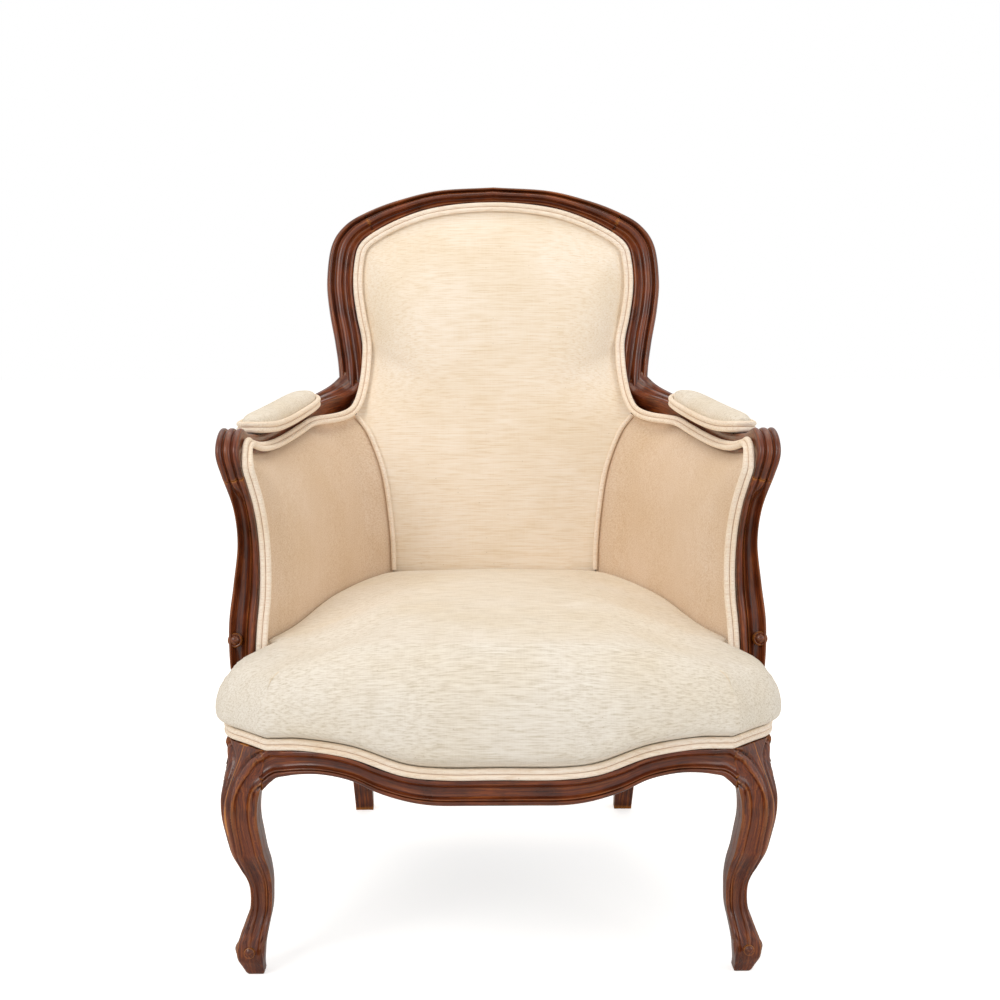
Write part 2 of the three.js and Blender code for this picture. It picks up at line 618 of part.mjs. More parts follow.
// The space of an arm's upholstery with a margin all round, to cut the seat by
function tubBlock() {
  const wider = (depth) => {
    const grid = tubGrid(tubColumns, tubRows, depth).map((row) =>
      [offset(row[0], [row[0].clone().sub(row[1]).normalize(), 2 * clearance]), ...row]);
    return [grid[0].map((p) => offset(p, [point(0, 0, -1), 4 * clearance])), ...grid];
  };
  return sheet(wider(-clearance), wider(armFillDepth * 1.5));
}

// Inside back
const backMiddle = 0.92 * waistHeight; // height of the middle from which the cover swells

// Outline of the left half from the seat to the middle of the crest, a reach inside the show wood
function backOutline(reach) {
  const floor = [0, 0.5].map((share) => {
    const edge = seamLine.getPoint(0);
    return point(edge.x * share, edge.y - backCrown * 0.1 * (1 - share), edge.z);
  });
  const seam = [0, 0.4, 0.65, 0.82, 0.95].map((t) =>
    offset(seamLine.getPoint(t), [point(1, 0, 0), seamTuck + reach * 0.8]));
  const frame = [8.6, 8, 7, 6, 5, 4, 3.15, 2.3, 1.6, 0.8, 0].map((step) => {
    const { place, inward, behind, show } = postFrame(step);
    const depth = rebateDepth - 2 * clearance - coverThickness;
    return offset(place, [inward, show + 3 * clearance + reach], [behind, depth]);
  });
  return [...floor, ...seam, ...frame];
}

const backEdge = backOutline(0);
// The cover lies flat under the welt up to here
const backFlat = backOutline(2 * cordDiameter + 4 * clearance);
const around = (half) => [...half, ...half.slice(1, -1).reverse().map(mirrorPoint)];
const forwardOf = (p) => rakedFace(p.z) - p.y;

// A ring of the back's swelling surface at a share of the way out to the edge, moved backward by a depth
function backRing(outShare, depth) {
  return around(backFlat.map((edge) => {
    const x = edge.x * outShare;
    const z = mix(backMiddle, edge.z, outShare);
    const falling = outShare ** 4;
    const forward = mix(backCrown, forwardOf(edge), falling);
    return point(x, rakedFace(z) - forward + depth, z);
  }));
}

const backOutShares = [0.42, 0.76, 0.93, 1];
const backRim = (depth) => around(backEdge.map((p) => offset(p, [point(0, 1, 0), depth])));
const backShell = (near, far) => skin([
  ...backOutShares.map((share) => backRing(share, near)), backRim(near), backRim(far),
  ...backOutShares.slice().reverse().map((share) => backRing(share, far)),
]);
const insideBackCover = () =>
  cutBy(backShell(0, coverThickness), armRest(woodGrow), mirrored(armRest(woodGrow)), ...backPosts());

const backFill = rebateDepth - 3.5 * clearance; // how far behind the frame's face the stuffing reaches
const backFillShares = [0.42, 0.76, 0.93, 0.98]; // it ends before its front face falls back to its rear
function backStuffing() {
  const flat = (share) => backRing(share, 0).map((p) => p.setY(rakedFace(p.z) + backFill));
  const front = backFillShares.map((share) => backRing(share, coverThickness + clearance));
  const rear = [flat(backFillShares[0]), flat(backFillShares[backFillShares.length - 1])];
  return cutBy(skin([...rear, ...front.reverse()]), ...backPosts());
}

// Seat
// The seat's layers share one plan: points from the front's middle round the left side to the back's middle.
// Shares: leg reach, seat depth
const cornerShares = [[-0.985, -0.052], [-1.036, -0.032], [-1.066, 0.012], [-1.073, 0.085], [-1.063, 0.17]];
const besidePost = point(-0.86 * armReach, 0.225 * seatDepth, 0);
const seatMiddle = 0.44 * seatDepth;

// One station of the plan: its place, the level direction outward, and whether it hangs over a rail
function seatStations() {
  const front = frontRailShares.slice().reverse().map(([xShare, bulgeShare, dipShare]) => ({
    place: point(xShare * legReach, railFront - bulgeShare * railBulge, 0),
    lip: railHeight - dipShare * railDip, open: true,
  }));
  const corner = cornerShares.map(([x, y]) =>
    ({ place: point(x * legReach, y * seatDepth, 0), lip: railHeight, open: true }));
  const inside = [besidePost, ...tubFloorShares.map(([x, y]) => point(x * armReach, y * seatDepth, 0)),
    seamLine.getPoint(0), point(0, seamLine.getPoint(0).y, 0)]
    .map((place) => ({ place: place.setZ(0), lip: tubFloor, open: false }));
  const half = [...front.filter((_, i) => i % 2 === 0 || i > 7), ...corner, ...inside];
  half.forEach((station, i) => {
    const before = half[Math.max(i - 1, 0)].place;
    const after = half[Math.min(i + 1, half.length - 1)].place;
    const middle = i === 0 || i === half.length - 1;
    const way = after.clone().sub(before);
    station.out = middle ? point(0, Math.sign(i - 1), 0) : point(way.y, -way.x, 0).normalize().negate();
    if (station.out.dot(station.place.clone().sub(point(0, seatMiddle, 0))) < 0) station.out.negate();
  });
  return half;
}

const seatHalf = seatStations();
const seatTopShares = [0.45, 0.82];
// Edge over a rail: outward in edge rolls, share of the way down to the welt
const overRailShares = [[-2.6, 0], [-1.5, 0.11], [-0.15, 0.29], [0.9, 0.55], [1, 0.86], [0, 0.965]];
// Edge beside an arm or the back: outward in cord widths, share of the way down to the rails
const besideArmShares = [[-4.3, 0], [0, 0.014], [1, 0.08], [1, 0.27], [1, 0.44], [1, 0.6], [1, 0.83], [1, 1]];

// Upper profile at a station: points from the seat's middle over its edge and down to its lip
function seatProfile(station, depth) {
  const { place, out, lip, open } = station;
  const sideShare = Math.abs(place.x) / legReach;
  const brim = seatHeight - sideDrop * sideShare;
  const top = seatTopShares.map((share) => {
    const flat = point(place.x * share, mix(seatMiddle, place.y, share), 0);
    return flat.setZ(brim + seatCrown * (1 - share ** 2) - depth);
  });
  const tuck = rebateDepth - 3 * clearance - coverThickness;
  const weltTop = lip + 2 * cordDiameter;
  const overRail = [...overRailShares.map(([out, down]) => [out * edgeRoll, mix(brim, weltTop, down)]),
    [-tuck, weltTop], [-tuck, lip + 2 * clearance]];
  const besideArm = besideArmShares.map(([out, down]) => [out * cordDiameter, mix(brim, lip, down)]);
  const section = open ? overRail : besideArm;
  const edge = insetLine(section, depth).slice(1);
  return [...top, ...edge.map(([reach, z]) => offset(place, [out, reach]).setZ(z))];
}

// Moves an open line of [outward, height] points inward by a depth
function insetLine(line, depth) {
  return line.map((p, i) => {
    const [a, b] = [line[Math.max(i - 1, 0)], line[Math.min(i + 1, line.length - 1)]];
    const length = Math.hypot(b[0] - a[0], b[1] - a[1]);
    return [p[0] + depth * (b[1] - a[1]) / length, p[1] - depth * (b[0] - a[0]) / length];
  });
}

const turned = (lists) => lists[0].map((_, i) => lists.map((list) => list[i]));
const seatRings = (depth) => turned(seatHalf.map((station) => seatProfile(station, depth))).map(around);

const armBlocks = () => [tubBlock(), mirrored(tubBlock())];
const backBlock = () => backShell(-clearance, backCrown * 2);
const posts = (grow) => [armPost(grow), mirrored(armPost(grow))];
const rails = () => {
  const legs = [frontLeg(woodGrow), mirrored(frontLeg(woodGrow))];
  return [...legs, frontRailBlank(woodGrow), sideRailBlank(woodGrow), mirrored(sideRailBlank(woodGrow))];
};

const seatShell = (near, far) => skin([...seatRings(near), ...seatRings(far).reverse()]);
const seatCover = () =>
  cutBy(seatShell(0, coverThickness), ...armBlocks(), backBlock(), ...posts(woodGrow), ...rails());

const burlapTop = railHeight + railTuck + burlapRise;

function seatStuffing() {
  const upper = seatRings(coverThickness + clearance).slice(0, 5);
  const lowerAt = (share, z) => around(seatHalf.map(({ place }) =>
    point(place.x * share, mix(seatMiddle, place.y, share), z)));
  const rim = railHeight + railTuck + clearance;
  const lower = [lowerAt(0.4, burlapTop), lowerAt(0.84, burlapTop), lowerAt(0.86, rim), lowerAt(0.975, rim)];
  return cutBy(skin([...lower, ...upper.reverse()]), ...armBlocks(), backBlock(), ...posts(postSpace));
}

// A thin layer inside the rails at one height
function seatLayer(share, low, thickness, ...cutters) {
  const ringAt = (z) => around(seatHalf.map(({ place }) =>
    point(place.x * share, mix(seatMiddle, place.y, share), z)));
  return cutBy(skin([ringAt(low), ringAt(low + thickness)]), ...cutters);
}

const seatBurlap = () => seatLayer(0.83, burlapTop - burlapThickness - clearance, burlapThickness);

// Straps woven both ways under the springs, tacked under the rails
function seatWebbing() {
  const { front, back } = sideRailEnds();
  const low = webbingTop - webbingThickness;
  let lattice = null;
  const middle = (springGrid - 1) / 2;
  for (let i = 0; i < springGrid; i++) {
    const shift = i - middle;
    const x = shift * springPitchX;
    const y = springCentreY + shift * springPitchY;
    const half = webbingWidth / 2;
    const strips = [
      box(point(x - half, railFront, low), point(x + half, back.y + postDepth / 2, webbingTop)),
      box(point(front.x, y - half, low), point(-front.x, y + half, webbingTop)),
    ];
    for (const strip of strips) lattice = lattice ? lattice.add(solidOf(strip)) : solidOf(strip);
  }
  return cutBy(geometryOf(lattice), ...rails(), rearRail(woodGrow), ...backPosts());
}

// Springs
const springPitchX = 0.382 * armReach;
const springPitchY = 0.24 * seatDepth;
const springCentreY = 0.42 * seatDepth;

// A waisted coil standing on the webbing under the burlap
function seatSpring() {
  const low = webbingTop + clearance + springWire / 2;
  const high = burlapTop - burlapThickness - 2 * clearance - springWire / 2;
  const steps = springTurns * springSteps;
  const rings = spread(0, 1, steps).map((share) => {
    const angle = share * springTurns * 2 * Math.PI;
    const waist = Math.sin(share * Math.PI);
    const radius = (mix(springDiameter, springWaist, waist) - springWire) / 2;
    const height = mix(low, high, THREE.MathUtils.smootherstep(share, 0, 1) * 0.4 + share * 0.6);
    const out = point(Math.cos(angle), Math.sin(angle), 0);
    return spread(0, 1, springSides).slice(1).map((corner) => {
      const turn = corner * 2 * Math.PI;
      return offset(out.clone().multiplyScalar(radius), [out, Math.cos(turn) * springWire / 2],
        [point(0, 0, 1), height + Math.sin(turn) * springWire / 2]);
    });
  });
  return skin(rings);
}

// Dust cover and back panels
function dustCover() {
  const top = webbingTop - webbingThickness - clearance;
  const blank = box(point(-armReach, railFront - 2 * railBulge, top - burlapThickness),
    point(armReach, sideRailEnds().back.y + 2 * postDepth, top));
  return cutBy(blank, ...rails(), ...backPosts(), rearRail(woodGrow));
}

// A flat panel in the raked plane that follows the back frame: reach beyond the show face, depth behind it
function backPanel(reach, depth, thickness, bottom) {
  const outline = [9.4, 8, 7, 6, 5, 4, 3.15, 2.3, 1.6, 0.8, 0].map((step) => {
    const { place, inward, show } = postFrame(step);
    return offset(place, [inward, show + reach]);
  });
  const foot = postFrame(11.3);
  const corner = offset(foot.place, [point(1, 0, 0), foot.show + reach - rebateWidth * 0.2]).setZ(bottom);
  const half = [point(0, 0, bottom), corner, ...outline];
  const at = (back) => around(half.map((p) => offset(point(p.x, rakedFace(p.z), p.z), [rakedBack, back])));
  return skin([at(depth), at(depth + thickness)]);
}

function backWebbing() {
  let lattice = null;
  const depth = backFill + 2 * clearance;
  const straps = [-0.5, 0, 0.5].map((share) => {
    const x = share * backHalfWidth;
    return skin([seatHeight + lowerRailHeight * 0.6, chairHeight].map((z) => [[0, 0], [0, 1], [1, 1], [1, 0]]
      .map(([s, t]) => point(x + (s - 0.5) * webbingWidth, rakedFace(z) + depth + t * webbingThickness, z))));
  });
  const level = [0.3, 0.65].map((share) => {
    const z = mix(seatHeight, chairHeight, share);
    return skin([-backHalfWidth, backHalfWidth].map((x) => [[0, 0], [0, 1], [1, 1], [1, 0]]
      .map(([s, t]) => {
        const height = z + (s - 0.5) * webbingWidth;
        return point(x, rakedFace(height) + depth + t * webbingThickness, height);
      })));
  });
  for (const strap of [...straps, ...level]) lattice = lattice ? lattice.add(solidOf(strap)) : solidOf(strap);
  const railTop = seatHeight + 1.4 * lowerRailHeight;
  const window = solidOf(backPanel(rebateWidth + 6 * clearance, 0, postDepth, railTop + rebateDepth));
  return cutBy(geometryOf(lattice.intersect(window)));
}

const outsideBackCover = () => cutBy(
  backPanel(rebateWidth * 0.93 + 2 * clearance, backPanelDepth, coverThickness,
    railHeight + railTuck + backRakeShare * postDepth),
  ...backPosts());

// Welts
const cordRadius = cordDiameter / 2;
// Section of a double welt, two cords side by side: across, outward, in cord radii
const doubleCordShares = [
  [-2, 0], [-1.1, 0.95], [0, 0.4], [1.1, 0.95], [2, 0], [1.3, -0.95], [-1.3, -0.95],
];
const singleCordShares = spread(0, 1, 5).slice(1).map((turn) =>
  [Math.cos(turn * 2 * Math.PI), Math.sin(turn * 2 * Math.PI)]);

// Rings of a cord's section along a line of points that each know which way the cord faces
function cordRings(stations, shares, looped = false, grow = 0) {
  const section = swell(shares.map(([s, f]) => [s * cordRadius, f * cordRadius]), grow);
  const count = stations.length;
  return stations.map(({ place, face }, i) => {
    const before = stations[looped ? (i + count - 1) % count : Math.max(i - 1, 0)].place;
    const after = stations[looped ? (i + 1) % count : Math.min(i + 1, count - 1)].place;
    const along = after.clone().sub(before).normalize();
    const up = squareTo(face, along);
    const across = new THREE.Vector3().crossVectors(along, up);
    return section.map(([s, f]) => offset(place, [across, s], [up, f]));
  });
}

// Joins rings in a closed loop
function loopOf(rings) {
  const count = rings[0].length;
  const faces = [];
  rings.forEach((_, i) => {
    for (let j = 0; j < count; j++) {
      const next = ((i + 1) % rings.length) * count;
      const [a, b] = [i * count + j, i * count + (j + 1) % count];
      faces.push([a, b, next + (j + 1) % count], [a, next + (j + 1) % count, next + j]);
    }
  });
  return closed(rings.flat(), faces);
}

const mirrorStation = ({ place, face }) => ({ place: mirrorPoint(place), face: mirrorPoint(face) });
const bothSides = (half) => [...half, ...half.slice(0, -1).reverse().map(mirrorStation)];

// The welt beside the arm post and under the arm's inner edge
function armWelt(step) {
  const { place, face, inner, wide, thick } = armFrame(step);
  const onPost = THREE.MathUtils.smoothstep(step, 7.4, 8.8);
  const turn = face.clone().multiplyScalar(mix(0.7, 1, onPost)).addScaledVector(inner, mix(0.7, 0, onPost));
  const raise = mix(0, thick / 2 - cordRadius, onPost);
  const reach = wide / 2 + 2.5 * clearance + cordDiameter;
  return { place: offset(place, [inner, reach], [face, raise]), face: turn };
}

function frameWelt(step) {
  const { place, inward, behind, show } = postFrame(step);
  const depth = rebateDepth - 3 * clearance - coverThickness - cordRadius;
  return { place: offset(place, [inward, show + 2 * clearance + cordDiameter], [behind, depth]),
    face: behind.clone().negate() };
}

// From the seam's top the welt turns out of the back frame into the arm
function turnWelt() {
  const top = seamLine.getPoint(1);
  const ahead = point(0.35, -0.93, 0.1).normalize();
  return { place: offset(top, [ahead, 2.2 * cordDiameter], [point(0, 0, 1), cordDiameter]), face: ahead };
}

function insideWelt() {
  const post = [12.9, 12.3, 11.5, 10.7, 9.9, 9.3, 8.8].map(armWelt);
  const arm = [7.6, 7, 6.4, 5.6, 4.8, 4, 3.3, 2.8].map(armWelt);
  const frame = [8.3, 7.4, 6.6, 5.8, 5.1, 4.5, 3.9, 3.3, 2.7, 2.1, 1.4, 0.7, 0].map(frameWelt);
  const cord = skin(cordRings(bothSides([...post, ...arm, turnWelt(), ...frame]), doubleCordShares));
  return cutBy(cord, armRest(woodGrow), mirrored(armRest(woodGrow)));
}

const weltLift = cordDiameter + 3 * clearance;

function seatWelt() {
  const depth = rebateDepth - 5 * clearance - coverThickness - cordRadius;
  const front = seatHalf.filter(({ open }) => open).map(({ place, out, lip }) =>
    ({ place: offset(place, [out, -depth]).setZ(lip + weltLift), face: out }));
  const side = [0.16, 0.3, 0.5, 0.7, 0.88, 0.96].map((way) => ({
    place: sideRailFace(way).add(point(depth, 0, weltLift)), face: point(-1, 0, 0),
  }));
  return cutBy(skin(cordRings(bothSides([...front, ...side].reverse()), doubleCordShares)),
    ...backPosts(), ...rails());
}

// A point on a side rail's face at the upper edge of its show wood
function sideRailFace(way) {
  const { front, back } = sideRailEnds();
  const after = Math.max(1, sideRailShares.findIndex(([share]) => share >= way));
  const [[from, bowFrom], [to, bowTo]] = [sideRailShares[after - 1], sideRailShares[after]];
  const bow = mix(bowFrom, bowTo, (way - from) / (to - from)) * sideRailBow;
  return point(mix(front.x, back.x, way) - bow, mix(front.y, back.y, way), railHeight);
}

function seamWelt() {
  const ahead = point(0.36, -0.93, 0);
  const stations = [0.26, 0.36, 0.48, 0.6, 0.72, 0.83, 0.92].map((t) =>
    ({ place: offset(seamLine.getPoint(t), [ahead, cordRadius * 1.7]), face: ahead }));
  return skin(cordRings(stations, singleCordShares));
}

function outsideBackWelt() {
  const depth = backPanelDepth + coverThickness + clearance + cordRadius;
  const reach = rebateWidth + 6 * clearance + cordRadius;
  const stations = [11.2, 10, 8.6, 7.4, 6.4, 5.6, 4.9, 4.3, 3.8, 3.2, 2.6, 2, 1.4, 0.7, 0].map((step) => {
    const { place, inward, show } = postFrame(step);
    const edge = offset(place, [inward, show + reach]);
    return { place: offset(edge, [rakedBack, depth]), face: rakedBack };
  });
  return cutBy(skin(cordRings(bothSides(stations), singleCordShares)), ...backPosts(), crestRail(woodGrow));
}

// Outside of the arms
// Outer cover of the left arm: edges along the arm post, under the arm, down the back post, along the rail
const outsideFront = [14.4, 13.5, 12.5, 11.5, 10.5, 9.8].map((step) => {
  const { place, face, inner, wide, thick } = armFrame(step);
  return offset(place, [inner, -wide * 0.2], [face, -thick / 2 - clearance]);
});
const outsideTop = [6.6, 5.5, 4.5, 3.5, 2.5, 1.7].map((step) => {
  const { place, face, inner, wide, thick } = armFrame(step);
  return offset(place, [inner, -wide * 0.25], [face, -thick / 2 - clearance]);
});
const outsideRear = [12.9, 12, 11, 10.2, 9.6].map((step) => {
  const { place, inward, behind, depth } = postFrame(step);
  return offset(place, [inward, -clearance - coverThickness], [behind, depth * 0.35]);
});
const overWelt = point(rebateDepth - 2 * clearance - coverThickness, 0, weltLift + cordDiameter + clearance);
const outsideBase = [0.17, 0.35, 0.55, 0.75, 0.93].map((way) => sideRailFace(way).add(overWelt));
outsideFront[0] = outsideBase[0].clone();
outsideRear[0] = outsideBase[4].clone();
const outsideCorner = outsideFront[5].clone().lerp(outsideTop[0], 0.3).setZ(outsideTop[0].z);
const outsideEnd = outsideRear[4].clone().lerp(outsideTop[5], 0.5);
const outsideEdges = {
  front: new THREE.CatmullRomCurve3([...outsideFront.slice(0, 5), outsideCorner]),
  rear: new THREE.CatmullRomCurve3([...outsideRear.slice(0, 4), outsideEnd]),
  base: new THREE.CatmullRomCurve3(outsideBase),
  top: new THREE.CatmullRomCurve3([outsideCorner, ...outsideTop.slice(1, 5), outsideEnd]),
};

// A surface spanned between four edges, at shares of the way along and up
function spanned({ front, rear, base, top }, along, up) {
  const p = front.getPoint(up).multiplyScalar(1 - along).addScaledVector(rear.getPoint(up), along)
    .addScaledVector(base.getPoint(along), 1 - up).addScaledVector(top.getPoint(along), up);
  const low = base.getPoint(0).lerp(base.getPoint(1), along);
  const high = top.getPoint(0).lerp(top.getPoint(1), along);
  return p.sub(low.lerp(high, up));
}

const panelWayShares = [0, 0.025, 0.3, 0.5, 0.7, 0.975, 1];
const panelRiseShares = [0, 0.2, 0.45, 0.7, 0.97, 1];

// A layer along the outside of the left arm, from a reach outward to a depth inward
function outsideArmSheet(reach, depth) {
  const grid = (inward) => panelRiseShares.map((up) => panelWayShares.map((along) =>
    offset(spanned(outsideEdges, along, up), [point(1, 0, 0), inward])));
  return sheet(grid(-reach), grid(depth));
}

const outsideArmCover = () => cutBy(outsideArmSheet(0, coverThickness),
  armRest(woodGrow), armPost(woodGrow), backPost(woodGrow), sideRailBlank(woodGrow));

function outsideArmWelt() {
  const out = point(-1, 0, 0);
  const lift = (along, up) =>
    ({ place: offset(spanned(outsideEdges, along, up), [out, cordRadius + clearance]), face: out });
  const [low, high] = [panelWayShares[1], panelWayShares[panelWayShares.length - 2]];
  const rises = [low, ...panelRiseShares.slice(1, -1)];
  const front = rises.map((up) => lift(low, up));
  const top = panelWayShares.slice(2, -2).map((along) => lift(along, high));
  const rear = rises.reverse().map((up) => lift(high, up));
  const cord = skin(cordRings([...front, ...top, ...rear], singleCordShares));
  return cutBy(cord, armRest(woodGrow), armPost(woodGrow), backPost(woodGrow), sideRailBlank(woodGrow));
}

// Arm pads
// Shape of a pad along the arm. Shares: way along the pad, width, height
const padShares = [
  [0, 0.36, 0.66], [0.05, 0.7, 0.82], [0.16, 0.94, 0.96], [0.38, 1, 1], [0.62, 1, 1], [0.84, 0.94, 0.96],
  [0.95, 0.7, 0.82], [1, 0.36, 0.66],
];
const padFromShare = 2.35; // the pad's ends, counted along the arm's line
const padToShare = 5.75;
const padBand = 2 * cordDiameter; // height of the pad's side, which the welt covers

function padFrame(way) {
  const { place, face, inner, thick } = armFrame(mix(padFromShare, padToShare, way));
  return { base: offset(place, [face, thick / 2 + 3 * clearance], [inner, padShift]), face, inner };
}

function padDome(shrink, sink) {
  return skin(padShares.map(([way, widthShare, heightShare]) => {
    const endShift = (way - 0.5) * 2 * shrink / (armReach);
    const { base, face, inner } = padFrame(way - endShift);
    const half = widthShare * padWidth / 2 - cordRadius - shrink;
    const high = heightShare * padThickness - shrink;
    const section = [[-1, -sink], [-1, padBand * 0.8], [-0.72, mix(padBand, high, 0.7)], [0, high],
      [0.72, mix(padBand, high, 0.7)], [1, padBand * 0.8], [1, -sink]];
    return section.map(([b, n]) => offset(base, [inner, b * half], [face, n]));
  }));
}

const padCover = () => cutBy(padDome(0, 0), padDome(coverThickness, padThickness), padWelt(clearance));
const padStuffing = () => cutBy(padDome(coverThickness + clearance, 0), armRest(clearance));

function padWelt(grow = 0) {
  const side = (sign) => padShares.map(([way, widthShare]) => {
    const { base, face, inner } = padFrame(way);
    const reach = widthShare * padWidth / 2 + 2 * clearance;
    return { place: offset(base, [inner, sign * reach], [face, clearance + cordDiameter]),
      face: inner.clone().multiplyScalar(sign) };
  });
  const end = (way, shift) => {
    const { base, face, inner } = padFrame(way);
    const along = new THREE.Vector3().crossVectors(face, inner).normalize();
    const out = along.y * shift > 0 ? along : along.negate();
    const [reach, raise] = [cordRadius + 2 * clearance, clearance + cordDiameter];
    return { place: offset(base, [out, reach], [face, raise]), face: out };
  };
  const stations = [...side(1), end(1, -1), ...side(-1).reverse(), end(0, 1)];
  return loopOf(cordRings(stations, doubleCordShares, true, grow));
}

// The chair's group
const chair = new THREE.Group();
function add(name, geometry, material) {
  const mesh = new THREE.Mesh(geometry, material);
  mesh.name = name;
  chair.add(mesh);
}
function addPair(name, geometry, material) {
  add(`left_${name}`, geometry, material);
  add(`right_${name}`, mirrored(geometry), material);
}

add('crest_rail', crestRail(), walnut);
addPair('back_post', backPost(), walnut);
addPair('front_leg', frontLeg(), walnut);
add('front_seat_rail', frontRail(), walnut);
addPair('side_seat_rail', sideRail(), walnut);
add('rear_seat_rail', rearRail(), walnut);
add('lower_back_rail', lowerBackRail(), plainBeech);
addPair('arm_rest', cutBy(armRest(), backPost(woodGrow)), walnut);
addPair('arm_post', armPost(), walnut);
addPair('front_corner_block', frontBlock(), plainBeech);
addPair('rear_corner_block', rearBlock(), plainBeech);
addPair('inside_arm_cover', insideArmCover(), creamCloth);
addPair('inside_arm_stuffing', insideArmStuffing(), horsehair);
add('inside_back_cover', insideBackCover(), creamCloth);
add('back_stuffing', backStuffing(), horsehair);
add('back_webbing', backWebbing(), jute);
add('seat_cover', seatCover(), creamCloth);
add('seat_stuffing', seatStuffing(), horsehair);
add('seat_burlap', seatBurlap(), jute);
add('seat_webbing', seatWebbing(), jute);
for (let row = 0; row < springGrid; row++) {
  for (let column = 0; column < springGrid; column++) {
    const x = (column - (springGrid - 1) / 2) * springPitchX;
    const y = springCentreY + (row - (springGrid - 1) / 2) * springPitchY;
    add(`seat_spring_${row * springGrid + column + 1}`, seatSpring().translate(x, y, 0), springSteel);
  }
}
add('dust_cover', dustCover(), blackCambric);
add('outside_back_cover', outsideBackCover(), creamCloth);
addPair('outside_arm_cover', outsideArmCover(), creamCloth);
addPair('arm_pad_cover', padCover(), creamCloth);
addPair('arm_pad_stuffing', padStuffing(), horsehair);
add('inside_double_welt', insideWelt(), creamCord);
add('seat_double_welt', seatWelt(), creamCord);
add('outside_back_welt', outsideBackWelt(), creamCord);
addPair('seam_welt', seamWelt(), creamCord);
addPair('outside_arm_welt', outsideArmWelt(), creamCord);
addPair('arm_pad_welt', padWelt(), creamCord);

// The origin goes to the middle of the chair's box, on the floor
const bounds = new THREE.Box3().setFromObject(chair);
const centre = bounds.getCenter(new THREE.Vector3());
for (const mesh of chair.children) mesh.geometry.translate(-centre.x, -centre.y, -bounds.min.z);

export default chair;
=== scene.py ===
# Bergere chair: stained beech frame with shellac polish, cream silk noil upholstery.
# Lengths are millimetres in the maker's frame: y = 0 at the front feet, the chair faces -Y. Those of the
# studio and of the materials' noise and bump are metres.
import math
import bpy
import numpy as np
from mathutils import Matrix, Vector
from mathutils.bvhtree import BVHTree


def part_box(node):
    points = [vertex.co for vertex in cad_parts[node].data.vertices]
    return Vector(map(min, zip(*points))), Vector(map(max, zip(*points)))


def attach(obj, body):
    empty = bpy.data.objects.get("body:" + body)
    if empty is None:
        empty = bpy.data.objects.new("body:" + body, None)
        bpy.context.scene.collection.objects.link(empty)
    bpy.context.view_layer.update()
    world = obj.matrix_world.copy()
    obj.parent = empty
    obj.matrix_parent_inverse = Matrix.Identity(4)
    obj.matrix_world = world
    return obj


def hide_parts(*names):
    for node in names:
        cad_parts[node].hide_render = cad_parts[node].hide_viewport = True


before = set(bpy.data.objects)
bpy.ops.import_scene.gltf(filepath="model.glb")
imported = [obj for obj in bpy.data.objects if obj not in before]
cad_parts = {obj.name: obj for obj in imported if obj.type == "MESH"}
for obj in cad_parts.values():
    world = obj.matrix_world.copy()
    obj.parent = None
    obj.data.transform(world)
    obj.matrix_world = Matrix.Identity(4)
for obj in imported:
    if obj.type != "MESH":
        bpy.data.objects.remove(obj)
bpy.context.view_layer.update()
print("frame loaded")

# Sizes shared by the pieces: the chair, its timber, its cloth
chair = dict(height=952, armReach=342, seatDepth=490, rake=0.25, railBulge=40, railDip=26, legKick=84,
             railFront=-27, clearance=0.4)
chair.update(armHeight=0.6786 * chair["height"], seatHeight=0.4223 * chair["height"],
             railHeight=0.2983 * chair["height"], backHalf=0.731 * chair["armReach"],
             legReach=0.889 * chair["armReach"])
chair["waist"] = chair["armHeight"] + 0.0315 * chair["height"]
timber = dict(stileShow=39, crestShow=24, postDepth=30, postBelow=42, mould=8, rebate=16, rebateDepth=9,
              railThick=32, railShow=36, railTuck=44, sideThick=28, sideBow=16, sideStart=22, sideInset=4,
              legHalf=25, tenonHalf=13, armWide=34, armThick=30)
cloth = dict(thick=2, cord=7, seatCrown=20, backCrown=36, edgeRoll=15, sideDrop=8, cornerDrop=18,
             armSwell=16, armFill=22, seamTuck=1.2, padHigh=27, padWide=48)
tubFloor = chair["railHeight"] + timber["railTuck"] + 3 * chair["clearance"]
railFace = chair["railFront"] - chair["railBulge"] + 0.02 * timber["mould"]
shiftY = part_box("front_seat_rail")[0].y * 1000 - railFace


def vec(*values):
    return np.array(values, float)


def unit(v):
    return v / np.maximum(np.linalg.norm(v, axis=-1, keepdims=True), 1e-9)


# The part of a direction that stands square to another
def squareTo(v, along):
    return unit(v - np.sum(v * along, 1, keepdims=True) * along)


def mix(a, b, share):
    return a + (b - a) * share


# The right half of a symmetric row of points, from the middle on, is the left half turned over
def mirrored(half, flip=(-1, 1, 1)):
    half = np.asarray(half)
    return np.concatenate([half, half[:-1][::-1] * vec(*flip)])


def smooth(x, low, high):
    t = np.clip((x - low) / (high - low), 0, 1)
    return t * t * (3 - 2 * t)


